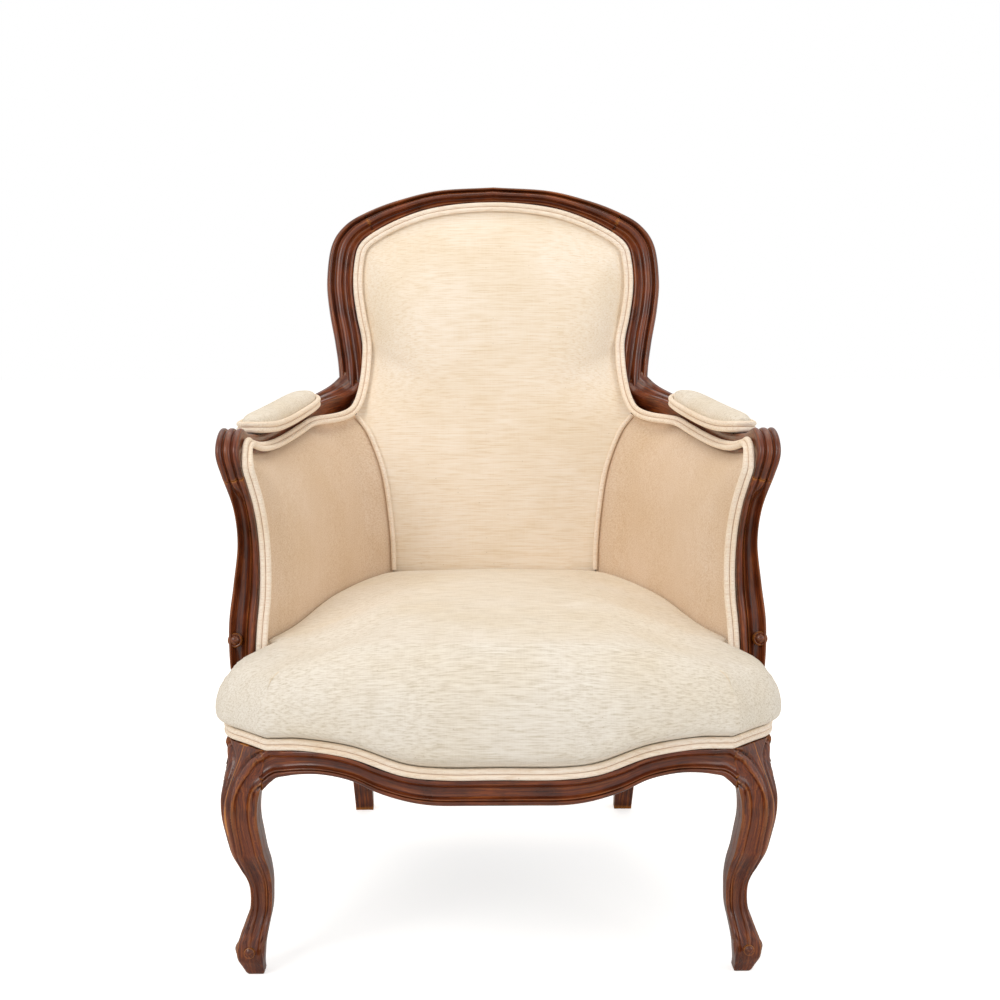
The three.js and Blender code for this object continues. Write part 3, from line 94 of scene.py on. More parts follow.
# Smooth curve through a table's rows, read at steps counted in rows
def curveAt(table, steps, even=False):
    table = np.asarray(table, float)
    last = len(table) - 1
    steps = np.clip(np.atleast_1d(np.asarray(steps, float)), 0, last)
    index = np.minimum(steps.astype(int), last - 1)
    share = (steps - index)[:, None]
    padded = np.vstack([2 * table[0] - table[1], table, 2 * table[-1] - table[-2]])
    a, b, c, d = (padded[index + k] for k in range(4))
    if even:
        def gap(p, q):
            return np.maximum(np.sum((q - p) ** 2, 1, keepdims=True) ** 0.25, 1e-4)
        ab, bc, cd = gap(a, b), gap(b, c), gap(c, d)
        start = ((b - a) / ab - (c - a) / (ab + bc) + (c - b) / bc) * bc
        end = ((c - b) / bc - (d - b) / (bc + cd) + (d - c) / cd) * bc
    else:
        start, end = (c - a) / 2, (d - b) / 2
    return (b + start * share + (3 * (c - b) - 2 * start - end) * share ** 2
            + (2 * (b - c) + start + end) * share ** 3)


def wayAt(table, steps):
    tiny = 1e-4 * (len(table) - 1)
    return unit(curveAt(table, steps + tiny) - curveAt(table, steps - tiny))


def resample(table, count, even=True):
    return curveAt(table, np.linspace(0, len(table) - 1, count), even)


def rakedFace(z):
    return chair["seatDepth"] + chair["rake"] * (z - chair["seatHeight"])


rakedBack = unit(vec(0, 1, -chair["rake"]))


# Grain runs along each member: the wood's material reads it from the attribute "lie", in millimetres
def makePiece(name, points, faces, lie, material, angle):
    mesh = bpy.data.meshes.new(name)
    row = (np.asarray(points, float) + vec(0, shiftY, 0)) / 1000
    mesh.from_pydata(row.tolist(), [], [tuple(int(i) for i in f) for f in faces])
    mesh.validate()
    store = mesh.attributes.new("lie", "FLOAT_VECTOR", "POINT")
    store.data.foreach_set("vector", np.asarray(lie, np.float32).ravel())
    piece = bpy.data.objects.new(name, mesh)
    bpy.context.scene.collection.objects.link(piece)
    mesh.polygons.foreach_set("use_smooth", [True] * len(mesh.polygons))
    mesh.set_sharp_from_angle(angle=math.radians(angle))
    mesh.materials.append(material)
    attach(piece, "root")
    return piece


# Faces of a tube of rings without its ends
def tubeFaces(rings, count, closedLoop=False):
    faces = []
    for i in range(rings if closedLoop else rings - 1):
        here, there = i * count, ((i + 1) % rings) * count
        for j in range(count):
            k = (j + 1) % count
            faces.append((here + j, here + k, there + k, there + j))
    return faces


# Faces turned outward, judged by the body's own volume
def facedOut(points, faces):
    volume = 0
    for f in faces:
        for k in range(1, len(f) - 1):
            volume += np.dot(points[f[0]], np.cross(points[f[k]], points[f[k + 1]]))
    return faces if volume > 0 else [tuple(reversed(f)) for f in faces]


# A closed body from rings of points. Returns points, faces and the grain's place for each point
def bodyOf(rings, closedLoop=False):
    rings = np.asarray(rings, float)
    number, count = rings.shape[:2]
    points = rings.reshape(-1, 3)
    faces = tubeFaces(number, count, closedLoop)
    middle = rings.mean(1)
    way = np.concatenate([[0], np.cumsum(np.linalg.norm(np.diff(middle, axis=0), axis=1))])
    local = rings - middle[:, None]
    along = unit(np.gradient(middle, axis=0))
    side = squareTo(local[:, 0], along)
    up = np.cross(along, side)
    lie = np.stack([way[:, None].repeat(count, 1), np.einsum("ijk,ik->ij", local, side),
                    np.einsum("ijk,ik->ij", local, up)], -1).reshape(-1, 3)
    if not closedLoop:
        size = len(points)
        points = np.vstack([points, middle[:1], middle[-1:]])
        lie = np.vstack([lie, [[way[0], 0, 0], [way[-1], 0, 0]]])
        for j in range(count):
            k = (j + 1) % count
            faces.append((size, k, j))
            faces.append((size + 1, (number - 1) * count + j, (number - 1) * count + k))
    return points, facedOut(points, faces), lie


# A closed body between a front grid and a back grid of points
def slabOf(front, back):
    high, wide = front.shape[:2]
    points = np.vstack([front.reshape(-1, 3), back.reshape(-1, 3)])
    under = high * wide
    faces = []
    for i in range(high - 1):
        for j in range(wide - 1):
            a = i * wide + j
            faces.append((a, a + 1, a + 1 + wide, a + wide))
            faces.append((under + a, under + a + wide, under + a + 1 + wide, under + a + 1))
    rim = ([*range(wide - 1)] + [(i + 1) * wide - 1 for i in range(high - 1)]
           + [(high - 1) * wide + j for j in range(wide - 1, 0, -1)]
           + [i * wide for i in range(high - 1, 0, -1)])
    for n, a in enumerate(rim):
        b = rim[(n + 1) % len(rim)]
        faces.append((a, under + a, under + b, b))
    return points, facedOut(points, faces), points


def joined(parts):
    points, faces, lies, start = [], [], [], 0
    for somePoints, someFaces, someLie in parts:
        points.append(somePoints)
        lies.append(someLie)
        faces += [tuple(i + start for i in f) for f in someFaces]
        start += len(somePoints)
    return np.vstack(points), faces, np.vstack(lies)


def mirrorOf(points, faces, lie):
    return points * vec(-1, 1, 1), [tuple(reversed(f)) for f in faces], lie


def pieceOf(name, body, look, nodes):
    material, slot, angle = look
    piece = makePiece(name, *body, material, angle)
    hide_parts(*nodes)
    return piece


# The left piece and its mirror image on the right
def pairOf(name, body, look, nodes):
    return [pieceOf(f"{side}_{name}", part, look, [f"{side}_{n}" for n in nodes])
            for side, part in (("left", body), ("right", mirrorOf(*body)))]


# Solids that keep the shape they have get a material alone
def dressNodes(names, material):
    for name in names:
        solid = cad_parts[name]
        solid.data.materials.clear()
        solid.data.materials.append(material)


# Materials: colours are written as hex and turned into linear light
def hexLinear(text):
    values = [int(text[k:k + 2], 16) / 255 for k in (1, 3, 5)]
    return [v / 12.92 if v <= 0.04045 else ((v + 0.055) / 1.055) ** 2.4 for v in values] + [1]


def newMaterial(name):
    material = bpy.data.materials.new(name)
    material.use_nodes = True
    tree = material.node_tree
    tree.nodes.clear()
    return material, tree


# Adds one node: settings are its properties, links give an input a value or another node's output
def addNode(tree, kind, settings=None, links=None):
    node = tree.nodes.new("ShaderNode" + kind)
    for key, value in (settings or {}).items():
        setattr(node, key, value)
    for key, value in (links or {}).items():
        socket = node.inputs[key]
        if isinstance(value, bpy.types.NodeSocket):
            tree.links.new(value, socket)
        else:
            socket.default_value = value
    return node


def objectPlace(tree):
    return addNode(tree, "TexCoord").outputs["Object"]


def scaledPlace(tree, place, scale):
    return addNode(tree, "VectorMath", {"operation": "MULTIPLY"}, {0: place, 1: scale}).outputs[0]


def noiseOf(tree, place, scale, detail, rough=0.5):
    return addNode(tree, "TexNoise", None, {"Vector": place, "Scale": scale, "Detail": detail,
                                            "Roughness": rough}).outputs["Fac"]


def mathOf(tree, operation, *values):
    return addNode(tree, "Math", {"operation": operation}, dict(enumerate(values))).outputs[0]


# A ramp's stops are pairs: a place and a hex colour, or a place and a grey
def rampOf(tree, value, *stops):
    node = addNode(tree, "ValToRGB", None, {"Fac": value})
    for index, (place, colour) in enumerate(stops):
        elements = node.color_ramp.elements
        stop = elements[index] if index < 2 else elements.new(place)
        stop.position = place
        stop.color = hexLinear(colour) if isinstance(colour, str) else [colour] * 3 + [1]
    return node.outputs["Color"]


def blendOf(tree, share, under, over, kind="MIX"):
    return addNode(tree, "Mix", {"data_type": "RGBA", "blend_type": kind},
                   {0: share, 6: under, 7: over}).outputs[2]


def bumpOf(tree, height, strength, distance):
    return addNode(tree, "Bump", None, {"Height": height, "Strength": strength,
                                        "Distance": distance}).outputs[0]


def endMaterial(tree, links):
    shader = addNode(tree, "BsdfPrincipled", None, links)
    addNode(tree, "OutputMaterial", None, {"Surface": shader.outputs[0]})


# Beech under walnut stain and shellac: close straight grain with short dark pores, a warm gloss.
# The polish has rubbed thin on the highest beads, where the wood shows amber that also serves as a painted
# highlight there, and the quirks are darkened with painted shade.
polish = dict(dark="#3F170B", mid="#6A2E12", light="#95501C", amber="#D98A2E", grain=2.2, pore=0.9, ior=1.38,
              rough=0.3, coat=0.28)


# Lengths are millimetres where the grain follows "lie" and metres where it follows the object
def stainedBeech(name, look, alongLine=True):
    material, tree = newMaterial(name)
    perUnit = 1 if alongLine else 1000
    fine, tiny = perUnit / look["grain"], perUnit / look["pore"]
    if alongLine:
        place = addNode(tree, "Attribute", {"attribute_name": "lie"}).outputs["Vector"]
    else:
        place = objectPlace(tree)
    warp = addNode(tree, "TexNoise", None, {"Vector": place, "Scale": 0.02 * perUnit, "Detail": 2.0})
    moved = addNode(tree, "VectorMath", {"operation": "MULTIPLY_ADD"},
                    {0: warp.outputs["Color"], 1: (2.5 / perUnit,) * 3, 2: place}).outputs[0]
    grain = noiseOf(tree, scaledPlace(tree, moved, (0.012 * perUnit, fine, fine)), 1.0, 6.0, 0.6)
    pore = noiseOf(tree, scaledPlace(tree, place, (0.09 * perUnit, tiny, tiny)), 1.0, 3.0, 0.7)
    cloud = noiseOf(tree, place, 0.03 * perUnit, 3.0)
    point = addNode(tree, "NewGeometry").outputs["Pointiness"]
    tone = rampOf(tree, grain, (0.3, look["dark"]), (0.5, look["mid"]), (0.7, look["light"]))
    tone = blendOf(tree, 1.0, tone, rampOf(tree, pore, (0.3, 0.45), (0.5, 1.0)), "MULTIPLY")
    tone = blendOf(tree, 1.0, tone, rampOf(tree, cloud, (0.35, 0.62), (0.65, 1.18)), "MULTIPLY")
    # amber on the highest, most pointed edges: rubbed polish, and a painted highlight
    wearAndHighlight = mathOf(tree, "MULTIPLY", rampOf(tree, point, (0.52, 0.0), (0.6, 1.0)), cloud)
    tone = blendOf(tree, wearAndHighlight, tone, hexLinear(look["amber"]))
    # painted shade: hollows and quirks darkened to a quarter of their tone
    tone = blendOf(tree, 1.0, tone, rampOf(tree, point, (0.4, 0.25), (0.49, 1.0)), "MULTIPLY")
    gloss = addNode(tree, "MapRange", None, {"Value": cloud, "From Min": 0.3, "From Max": 0.7,
                                             "To Min": look["rough"] - 0.06, "To Max": look["rough"] + 0.16})
    dents = noiseOf(tree, place, 0.12 * perUnit, 4.0, 0.55)
    bump = bumpOf(tree, mathOf(tree, "MULTIPLY_ADD", pore, 0.25, dents), 0.35, 0.0006)
    endMaterial(tree, {"Base Color": tone, "Roughness": gloss.outputs[0], "Normal": bump, "IOR": look["ior"],
                       "Coat Weight": look["coat"], "Coat Roughness": 0.1, "Coat IOR": 1.52})
    return material


# Silk noil, plain weave: thick and thin threads make broken streaks, with small seed flecks and a soft sheen.
# Threads are about 0.6 mm apart. Drawn 0.9 mm apart, because finer ones don't show at this picture's size.
noil = dict(pale="#FCF1E2", mid="#F8EAD7", dark="#ECD9BE", fleck="#A5895F", thread=0.9, slub=20, rough=0.86,
            sheen=0.3, sheenRough=0.4, bump=0.4, seam="#FBE9D0", fleckShare=0.86, fleckStrength=0.6,
            fleckScale=(95, 190, 190), crossShare=0.12, waveShare=3.14 / 6.283)


def silkNoil(name, **own):
    look = {**noil, **own}
    material, tree = newMaterial(name)
    place = objectPlace(tree)
    thin, long = 1000 / look["thread"], 1000 / look["slub"]
    streaks = noiseOf(tree, scaledPlace(tree, place, (long, thin, thin)), 0.5, 3.0, 0.65)
    cross = noiseOf(tree, scaledPlace(tree, place, (thin, long, long)), 0.5, 2.0, 0.65)
    both = addNode(tree, "Mix", {"data_type": "FLOAT"},
                   {0: look["crossShare"], 2: streaks, 3: cross}).outputs[0]
    tone = rampOf(tree, both, (0.32, look["dark"]), (0.5, look["mid"]), (0.66, look["pale"]))
    speck = addNode(tree, "TexVoronoi", {"feature": "F1"},
                    {"Vector": scaledPlace(tree, place, look["fleckScale"]), "Scale": 1.0, "Randomness": 1.0})
    dot = rampOf(tree, speck.outputs["Distance"], (0.03, 1.0), (0.11, 0.0))
    lot = addNode(tree, "SeparateColor", None, {0: speck.outputs["Color"]}).outputs[0]
    fleck = mathOf(tree, "MULTIPLY", dot, mathOf(tree, "GREATER_THAN", lot, look["fleckShare"]))
    fleck = mathOf(tree, "MULTIPLY", fleck, look["fleckStrength"])
    tone = blendOf(tree, fleck, tone, hexLinear(look["fleck"]))
    soil = rampOf(tree, noiseOf(tree, place, 9.0, 3.0), (0.3, "#F8F4EC"), (0.62, "#FFFFFF"))
    tone = blendOf(tree, 1.0, tone, soil, "MULTIPLY")
    # painted shade: the stitched grooves between and beside the cords, and other hollows in the cloth, take
    # the darker seam colour
    point = addNode(tree, "NewGeometry").outputs["Pointiness"]
    tone = blendOf(tree, rampOf(tree, point, (0.4, 1.0), (0.49, 0.0)), tone, hexLinear(look["seam"]))
    waves = [addNode(tree, "TexWave", {"bands_direction": axis},
                     {"Vector": place, "Scale": thin * look["waveShare"], "Distortion": 0.6, "Detail": 1.0,
                      "Detail Scale": 2.0}).outputs["Fac"] for axis in "YX"]
    height = mathOf(tree, "MULTIPLY_ADD", mathOf(tree, "MULTIPLY", *waves), 0.25, both)
    endMaterial(tree, {"Base Color": tone, "Roughness": look["rough"],
                       "Normal": bumpOf(tree, height, look["bump"], 0.0005), "IOR": 1.5,
                       "Specular IOR Level": 0.3, "Sheen Weight": look["sheen"],
                       "Sheen Roughness": look["sheenRough"], "Sheen Tint": hexLinear("#FFF4E0")})
    return material


# Plain woven goods that mostly hide: jute, hair and cambric. A coarse thread pattern with dull fibres
def plainWoven(name, pale, dark, thread, rough):
    material, tree = newMaterial(name)
    place = objectPlace(tree)
    tone = rampOf(tree, noiseOf(tree, place, 700 / thread, 4.0, 0.7), (0.3, dark), (0.7, pale))
    waves = [addNode(tree, "TexWave", {"bands_direction": axis},
                     {"Vector": place, "Scale": 500 / thread, "Distortion": 1.0}).outputs["Fac"]
             for axis in "XY"]
    bump = bumpOf(tree, mathOf(tree, "MULTIPLY", *waves), 0.6, 0.0008)
    endMaterial(tree, {"Base Color": tone, "Roughness": rough, "Normal": bump, "IOR": 1.45,
                       "Specular IOR Level": 0.2})
    return material


# Coppered spring wire: a warm metal with dull spots of age
def springWire(name):
    material, tree = newMaterial(name)
    spots = noiseOf(tree, objectPlace(tree), 160.0, 5.0)
    gloss = addNode(tree, "MapRange", None, {"Value": spots, "To Min": 0.55, "To Max": 0.25})
    endMaterial(tree, {"Base Color": rampOf(tree, spots, (0.35, "#5E4A33"), (0.65, "#B79A6A")),
                       "Roughness": gloss.outputs[0], "Metallic": 1.0})
    return material


# Polished show wood, and the bare beech of the parts that the cloth hides
showWood = stainedBeech("walnutStainedBeech", polish)
rawBeech = stainedBeech("plainBeech", dict(dark="#9A7047", mid="#B98A5C", light="#CFA578", amber="#D8B48A",
                                           grain=2.2, pore=0.9, ior=1.5, rough=0.62, coat=0.0), False)
# One bolt of noil in lit and shaded copies: cool and greyed on the seat as painted shade, warm on the back,
# rosy in the arms as painted warm shade, brightest on cords as painted highlight
seatNoil = silkNoil("creamSilkNoilSeatPaintedShade", pale="#F3EDE2", mid="#E9E1D4", dark="#D2C7B4", slub=14,
                    seam="#E9D3AE", fleckShare=0.7)
wallNoil = silkNoil("creamSilkNoilUpright", seam="#F0D6B2")
# painted warm shade: the arms' copy is darker and rosier than the cloth itself
armNoil = silkNoil("silkNoilArmPaintedWarmShade", pale="#EBD8C4", mid="#E3CBB2", dark="#D5B898", fleck="#FFF8EC",
                   seam="#D9AA80")
# painted highlight: the cords' copy is a little paler, and its dark seam colour is painted shade between the
# cords
cordNoil = silkNoil("creamSilkNoilCord", slub=9, bump=0.5, pale="#FFF4E4", mid="#F9EAD9", dark="#ECD6BE",
                    seam="#A9785C", fleckShare=0.97)
# Jute of the webbing and burlap, cambric of the dust cover, wire of the springs
jute = plainWoven("juteWebbing", "#BFA274", "#8C7148", 3.0, 0.95)
cambric = plainWoven("blackCambric", "#34312B", "#1A1815", 1.2, 0.9)
wire = springWire("copperedSpringWire")
# A look is a material, its slot and the angle that keeps an edge sharp
woodLook, cordLook = (showWood, "stained_beech", 34), (cordNoil, "cream_cord", 70)
seatLook, wallLook, armLook = ((noilOf, "cream_linen", 60) for noilOf in (seatNoil, wallNoil, armNoil))
dustLook = (cambric, "black_cambric", 60)
print("materials made")

# Back posts and crest rail: one moulding swept along a curve in the raked plane
# Upper rows: shares of half width, rise over the waist, show face, depth. Lower rows: half width, height,
# width, depth, relief, the leg's kick
backFrame = dict(
    upper=[[0, 1.01, 0, 0.93], [-0.328, 0.992, 0.08, 0.93], [-0.572, 0.94, 0.3, 0.95], [-0.752, 0.88, 0.6, 1],
           [-0.89, 0.807, 0.85, 1], [-0.974, 0.695, 1, 1], [-1, 0.51, 1, 1], [-0.985, 0.35, 1, 1],
           [-0.948, 0.17, 1, 1], [-0.924, 0, 1, 1.05]],
    lower=[[-0.912, 0.87, 1, 1.15, 0.4, 0], [-0.9, 0.72, 1, 1.25, 0.1, 0],
           [-0.888, 0.56, 1, 1.25, 0.06, 0.02], [-0.882, 0.42, 1, 1.2, 0.06, 0.12],
           [-0.876, 0.28, 0.84, 1.1, 0.06, 0.31],
           [-0.868, 0.13, 0.7, 1, 0.06, 0.68], [-0.856, 0, 0.62, 0.87, 0.06, 1.15]],
    joint=3.15, seatStep=9, easing=2.2,
    # outer slope, groove, small fillet, broad bead, groove, hollow, thin bead beside the cloth
    profile=[[0, 1.5], [0.02, 0.9], [0.06, 0.45], [0.12, 0.28], [0.175, 0.4], [0.205, 0.72], [0.245, 0.98],
             [0.285, 0.75], [0.31, 0.5], [0.35, 0.42], [0.375, 0.25], [0.41, 0.06], [0.47, 0], [0.53, 0.05],
             [0.58, 0.25], [0.62, 0.6], [0.655, 0.92], [0.7, 0.98], [0.76, 0.85], [0.82, 0.68], [0.865, 0.5],
             [0.885, 0.3], [0.92, 0.18], [0.96, 0.26], [1, 0.5]])


def backTable():
    places, values = [], []
    for x, rise, show, depth in backFrame["upper"]:
        z = chair["waist"] + rise * (chair["height"] - chair["waist"])
        places.append([x * chair["backHalf"], rakedFace(z), z])
        values.append([mix(timber["crestShow"], timber["stileShow"], show), depth * timber["postDepth"], 1,
                       timber["rebate"]])
    for x, high, wide, depth, relief, kick in backFrame["lower"]:
        z = high * chair["waist"]
        y = rakedFace(max(z, 0.42 * chair["waist"])) + kick * chair["legKick"]
        places.append([x * chair["backHalf"], y, z])
        values.append([wide * timber["postBelow"], depth * timber["postDepth"], relief,
                       relief * timber["rebate"]])
    return np.array(places, float), np.array(values, float)


backPlaces, backValues = backTable()
backLast = len(backPlaces) - 1


def postFrame(steps):
    steps = np.atleast_1d(np.asarray(steps, float))
    place = curveAt(backPlaces, steps)
    along = wayAt(backPlaces, steps)
    behind = squareTo(rakedBack, along)
    inward = np.cross(along, behind)
    return place, along, behind, inward, curveAt(backValues, steps)


def postRings(steps):
    place, _, behind, inward, values = postFrame(steps)
    mould = resample(backFrame["profile"], 61)
    rings = []
    for p, b, i, (show, depth, relief, rebate) in zip(place, behind, inward, values):
        deep = timber["mould"] * relief
        eased = backFrame["easing"] * (1 - min(1, relief))  # the plain part of the post has eased corners
        section = [[x * show, y * deep] for x, y in mould]
        section[0] = [0, max(1.5 * deep, eased)]
        rear = timber["rebateDepth"] * relief
        section += [[show, max(rear, deep * 0.6)], [show + rebate, rear + eased * 0.3],
                    [show + rebate * 0.94, depth * 0.9], [show + rebate * 0.86, depth * 0.985],
                    [show + rebate * 0.7, depth], [show * 0.2, depth], [show * 0.1, depth * 0.98],
                    [show * 0.03, depth * 0.92], [0, depth * 0.8]]
        rings.append([p + i * x + b * y for x, y in section])
    return np.array(rings)


postSteps = np.concatenate([np.linspace(backFrame["joint"] + 0.008, backFrame["seatStep"], 100),
                            np.linspace(backFrame["seatStep"] + 0.08, backLast, 90)])
postBody = postRings(postSteps)
postBody[-1][:, 2] = 0
crestBody = mirrored(postRings(np.linspace(backFrame["joint"], 0, 70)))
pieceOf("crest_show_wood", bodyOf(crestBody), woodLook, ["crest_rail"])
pairOf("post_show_wood", bodyOf(postBody), woodLook, ["back_post"])
print("back posts and crest made")

# Arm rests and the posts that hold them: one sweep, cut at the seam
# Shares of arm reach, seat depth, arm rise, width, thickness, then the way the face looks
armWood = dict(
    line=[[-0.616, 1.165, 1.045, 1.1, 0.8, 0, -0.95, 0.3], [-0.672, 1.12, 0.993, 1.1, 0.95, -0.1, -0.8, 0.55],
          [-0.76, 0.995, 0.957, 1.02, 1, 0, -0.35, 0.93], [-0.832, 0.82, 0.927, 1, 1, 0.05, 0, 1],
          [-0.88, 0.63, 0.908, 1, 1, 0.05, 0, 1], [-0.912, 0.43, 0.905, 1, 1, 0, 0, 1],
          [-0.929, 0.28, 0.925, 0.9, 1.05, 0, 0, 1], [-0.936, 0.2, 0.952, 0.85, 1.1, 0, -0.3, 1],
          [-0.94, 0.163, 0.92, 0.84, 1.1, 0, -1, 0.2], [-0.928, 0.172, 0.86, 0.76, 1.08, 0, -1, 0],
          [-0.902, 0.22, 0.74, 0.7, 1.05, 0, -1, -0.2], [-0.896, 0.26, 0.6, 0.76, 1.05, 0, -1, 0],
          [-0.906, 0.265, 0.45, 0.95, 1.1, 0, -1, 0], [-0.918, 0.245, 0.32, 1, 1.15, 0, -1, 0.1],
          [-0.918, 0.225, 0.19, 0.9, 1.15, 0, -1, 0.1], [-0.905, 0.215, 0.1, 0.8, 1.1, 0, -1, 0]],
    seam=9.1, bend=6.4, carvedFrom=(9.15, 9.9), reedsGrow=(0.6, 2.2), pointFrom=14.1, point=(0.35, 0.1),
    # three reeds on the scroll: share of half width (inner side positive), share of half thickness
    reeds=mirrored([[-1, 0.3], [-0.99, 0.6], [-0.94, 0.82], [-0.84, 0.95], [-0.7, 1], [-0.56, 0.98],
                    [-0.45, 0.9], [-0.38, 0.79], [-0.34, 0.79], [-0.27, 0.9], [-0.16, 0.98], [0, 1]],
                   (-1, 1)),
    # thin outer fillet, hollow channel and inner bead on the arm post
    channel=[[-1, 0.3], [-1, 0.6], [-0.97, 0.82], [-0.9, 0.97], [-0.82, 0.97], [-0.76, 0.85], [-0.68, 0.6],
             [-0.55, 0.4], [-0.4, 0.3], [-0.25, 0.26], [-0.1, 0.28], [0.05, 0.36], [0.16, 0.5], [0.25, 0.66],
             [0.31, 0.72], [0.37, 0.66], [0.43, 0.82], [0.54, 0.98], [0.68, 1.03], [0.81, 0.98], [0.92, 0.8],
             [0.98, 0.55], [1, 0.3]],
    under=[[1, -0.5], [0.99, -0.8], [0.88, -0.96], [0.7, -1], [-0.7, -1], [-0.88, -0.94], [-0.98, -0.78],
           [-1, -0.5]])
armTable = np.array(armWood["line"], float)
armRise = chair["armHeight"] - chair["railHeight"]
armPlaces = np.stack([armTable[:, 0] * chair["armReach"], armTable[:, 1] * chair["seatDepth"],
                      chair["railHeight"] + armTable[:, 2] * armRise], 1)
armValues = np.column_stack([armTable[:, 3] * timber["armWide"], armTable[:, 4] * timber["armThick"],
                             armTable[:, 5:]])
armLast = len(armPlaces) - 1


def armFrame(steps):
    steps = np.atleast_1d(np.asarray(steps, float))
    place = curveAt(armPlaces, steps)
    along = wayAt(armPlaces, steps)
    values = curveAt(armValues, steps)
    face = squareTo(values[:, 2:5], along)
    inner = np.cross(along, face)
    inner = np.where(inner[:, :1] < 0, -inner, inner)
    return place, face, inner, values[:, 0], values[:, 1], along


def armRings(steps, tip=False):
    place, face, inner, wide, thick, _ = armFrame(steps)
    reeds, channel = resample(armWood["reeds"], 67), resample(armWood["channel"], 67)
    under = np.array(armWood["under"], float)
    rings = []
    for s, p, f, i, w, t in zip(steps, place, face, inner, wide, thick):
        top = mix(reeds, channel, smooth(s, *armWood["carvedFrom"]))
        flat = 1 - smooth(s, *armWood["reedsGrow"])  # the reeds die out towards the back post
        top = np.column_stack([top[:, 0], mix(top[:, 1], np.minimum(top[:, 1] + 0.4, 0.9), flat * 0.6)])
        section = np.vstack([top, under])
        if tip:
            point = smooth(s, armWood["pointFrom"], armLast)  # the post's foot comes to a point over the rail
            section = section * (1 - vec(*armWood["point"]) * point)
        rings.append([p + i * b * w / 2 + f * n * t / 2 for b, n in section])
    return np.array(rings)


# A low turned button that sits on a place and looks along a face: shares of radius and of height
button = dict(profile=[[1, -0.8], [1, 0.25], [0.97, 0.5], [0.84, 0.66], [0.74, 0.62], [0.68, 0.7],
                       [0.55, 0.92], [0.38, 1.05], [0.2, 1.12], [0.06, 1.14]],
              corners=28, arm=(9, 7.5), scroll=(6.6, 3.0))


def buttonOf(place, face, side, radius, high):
    up = np.cross(face, side)
    turns = np.linspace(0, 2 * math.pi, button["corners"] + 1)[:-1]
    return bodyOf([[place + face * lift * high + (side * math.cos(a) + up * math.sin(a)) * radius * share
                    for a in turns] for share, lift in button["profile"]])


armRestSteps = np.concatenate([np.linspace(0, armWood["bend"], 90),
                               np.linspace(armWood["bend"] + 0.05, armWood["seam"], 80)])
armPostSteps = np.linspace(armWood["seam"] + 0.02, armLast, 150)
pairOf("arm_show_wood", bodyOf(armRings(armRestSteps)), woodLook, ["arm_rest"])
buttonPlace, buttonFace, buttonSide, buttonWide, buttonThick = (v[0] for v in armFrame(13.4)[:5])
armButton = buttonOf(buttonPlace + buttonFace * buttonThick * 0.275 - buttonSide * buttonWide * 0.27,
                     buttonFace, buttonSide, *button["arm"])
armPostBody = bodyOf(armRings(armPostSteps, True))
pairOf("arm_post_show_wood", joined([armPostBody, armButton]), woodLook, ["arm_post"])
print("arms made")

# Front legs and front rail. The rail's moulding turns down the leg's face: its lower line runs round the arch
# to the leg's inner edge, its upper line leaves the welt and sweeps down beside the outer edge to the scroll.
# Front rows: shares of reach, bulge, dip and show. Side rows: share of the way, bow and show.
seatRails = dict(
    front=[[-0.905, 0.05, 0.01, 1.3], [-0.875, 0.1, -0.01, 1.08], [-0.84, 0.15, -0.035, 0.91],
           [-0.75, 0.3, -0.085, 0.79], [-0.66, 0.42, -0.04, 0.745], [-0.56, 0.55, 0.16, 0.755],
           [-0.46, 0.67, 0.55, 0.83],
           [-0.365, 0.78, 0.85, 0.83], [-0.29, 0.87, 0.95, 0.85], [-0.22, 0.94, 0.965, 0.86],
           [-0.12, 0.98, 0.945, 0.86], [0, 1, 0.935, 0.86]],
    side=[[0, 0, 1.2], [0.07, 0.5, 0.98], [0.16, 0.83, 0.86], [0.3, 1, 0.84], [0.5, 0.9, 0.86],
          [0.7, 0.62, 0.92], [0.88, 0.28, 1.1], [1, 0.05, 1.3]],
    # rounded lower edge, double bead, wide cove, thin fillet under the welt: shares of the show and of depth
    profile=[[0, 0.9], [0.03, 0.45], [0.07, 0.2], [0.12, 0.05], [0.17, 0], [0.21, 0.1], [0.235, 0.32],
             [0.255, 0.14], [0.285, 0.04], [0.315, 0.12], [0.34, 0.4], [0.4, 0.7], [0.5, 0.86], [0.6, 0.88],
             [0.7, 0.8], [0.77, 0.6], [0.81, 0.38], [0.835, 0.2], [0.88, 0.1], [0.94, 0.1], [1, 0.2]],
    # beyond the upper line: a quirk, then the plain ear. Millimetres from the line, share of depth
    beyond=[[0, 0.2], [0.9, 0.46], [1.8, 0.4], [3.2, 0.06], [5, 0]],
    # the rail takes the leg's carving and comes flush with its face between these shares of the reach
    carved=(0.72, 0.8), flush=(0.82, 0.895), tenon=(-10, 12, 0), joint=13, easing=3)
